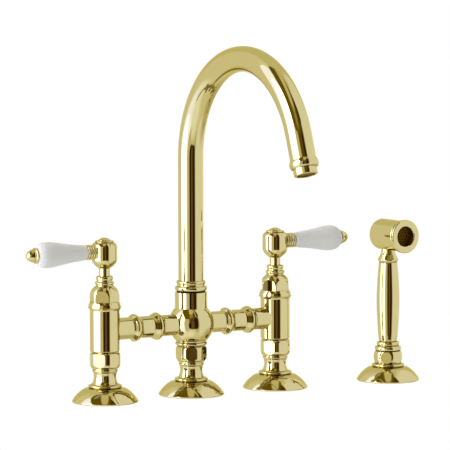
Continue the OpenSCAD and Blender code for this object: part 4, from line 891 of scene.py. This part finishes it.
def patchShare(tree, offsets, card):
    # how far the direction lies inside the rounded patch, from 0 to 1
    power = card.get("power", studioSetup["power"])
    parts = []
    for offset, half in zip(offsets, card["half"]):
        part = addNode(tree, "ShaderNodeMath", {0: offset, 1: half}, operation="DIVIDE")
        part = addNode(tree, "ShaderNodeMath", {0: part}, operation="ABSOLUTE")
        parts.append(addNode(tree, "ShaderNodeMath", {0: part, 1: power}, operation="POWER"))
    reach = addNode(tree, "ShaderNodeMath", {0: parts[0], 1: parts[1]}, operation="ADD")
    reach = addNode(tree, "ShaderNodeMath", {0: reach, 1: 1 / power}, operation="POWER")
    fade = {"From Min": 1 - card["soft"], "From Max": 1 + card["soft"], "To Min": 1.0, "To Max": 0.0}
    return addNode(tree, "ShaderNodeMapRange", {"Value": reach, **fade}, interpolation_type="SMOOTHSTEP")


def cardShare(tree, turn, lift, card):
    if "at" in card:
        aside = addNode(tree, "ShaderNodeMath", {0: turn, 1: card["at"][0]}, operation="SUBTRACT")
        aside = addNode(tree, "ShaderNodeMath", {0: aside, 1: 180, 2: -180}, operation="WRAP")
        along = addNode(tree, "ShaderNodeMath", {0: lift, 1: card["at"][1]}, operation="SUBTRACT")
        return patchShare(tree, (aside, along), card)
    away = addNode(tree, "ShaderNodeMath", {0: 90, 1: lift}, operation="SUBTRACT")
    way = addNode(tree, "ShaderNodeMath", {0: turn}, operation="RADIANS")
    offsets = []
    for part, middle in zip(("SINE", "COSINE"), card["over"]):
        share = addNode(tree, "ShaderNodeMath", {0: way}, operation=part)
        offset = {0: away, 1: share, 2: -middle}
        offsets.append(addNode(tree, "ShaderNodeMath", offset, operation="MULTIPLY_ADD"))
    return patchShare(tree, offsets, card)


def studioLight(tree, setup, cards):
    # the colour that comes from each direction, the cards laid over the room one by one
    heading = math.radians(cameraSetup["heading"])
    towardsCamera = Vector((-math.sin(heading), -math.cos(heading), 0))
    cameraRight = Vector((math.cos(heading), -math.sin(heading), 0))
    way = addNode(tree, "ShaderNodeTexCoord").outputs["Generated"]
    ahead, aside = [
        addNode(tree, "ShaderNodeVectorMath", {0: way, 1: axis}, operation="DOT_PRODUCT").outputs["Value"]
        for axis in (towardsCamera, cameraRight)
    ]
    height = addNode(tree, "ShaderNodeSeparateXYZ", {0: way}).outputs["Z"]
    turn = addNode(tree, "ShaderNodeMath", {0: aside, 1: ahead}, operation="ARCTAN2")
    lift = addNode(tree, "ShaderNodeMath", {0: height}, operation="ARCSINE")
    turn, lift = [
        addNode(tree, "ShaderNodeMath", {0: angle, 1: 180 / math.pi}, operation="MULTIPLY")
        for angle in (turn, lift)
    ]
    light = (*setup["room"], 1)
    for card in cards.values():
        layer = {"Factor": cardShare(tree, turn, lift, card), "A": light, "B": (*card["light"], 1)}
        light = addNode(tree, "ShaderNodeMix", layer, data_type="RGBA").outputs["Result"]
    return light


def makeStudio(setup, cards):
    world = bpy.data.worlds.new("softStudio")
    scene.world = world
    world.use_nodes = True
    tree = world.node_tree
    tree.nodes.clear()
    path = addNode(tree, "ShaderNodeLightPath").outputs
    level, drop = setup["level"], setup["level"] * (setup["laterLevel"] - 1)
    later = {0: path["Ray Depth"], 1: setup["laterFrom"]}
    later = addNode(tree, "ShaderNodeMath", later, operation="GREATER_THAN")
    strength = addNode(tree, "ShaderNodeMath", {0: later, 1: drop, 2: level}, operation="MULTIPLY_ADD")
    light = studioLight(tree, setup, cards)
    studio = addNode(tree, "ShaderNodeBackground", {"Color": light, "Strength": strength})
    paper = addNode(tree, "ShaderNodeBackground", {"Color": (1, 1, 1, 1), "Strength": 1.0})
    both = addNode(tree, "ShaderNodeMixShader", {0: path["Is Camera Ray"], 1: studio, 2: paper})
    addNode(tree, "ShaderNodeOutputWorld", {0: both})
    world.cycles.sampling_method = "MANUAL"
    world.cycles.sample_map_resolution = setup["mapSize"]


# Floor: white paper that lights itself and neither shows in the brass nor lights the porcelain
floorSetup = {"half": 3.0, "drop": 0.0003}  # metres


def makeFloor(setup):
    bm = bmesh.new()
    bmesh.ops.create_grid(bm, x_segments=1, y_segments=1, size=setup["half"])
    mesh = bpy.data.meshes.new("paleFloor")
    bm.to_mesh(mesh)
    bm.free()
    mesh.transform(Matrix.Translation((0, 0, -setup["drop"])))
    floor = bpy.data.objects.new("paleFloor", mesh)
    scene.collection.objects.link(floor)
    material = bpy.data.materials.new("paperFloor")
    material.use_nodes = True
    tree = material.node_tree
    tree.nodes.clear()
    glow = addNode(tree, "ShaderNodeEmission", {"Color": (1, 1, 1, 1), "Strength": 1.0})
    addNode(tree, "ShaderNodeOutputMaterial", {0: glow})
    mesh.materials.append(material)
    floor.visible_glossy = False
    floor.visible_diffuse = False


makeStudio(studioSetup, studioCards)
makeFloor(floorSetup)
scene.view_settings.view_transform = "Standard"
scene.view_settings.look = "None"
print("studio made")
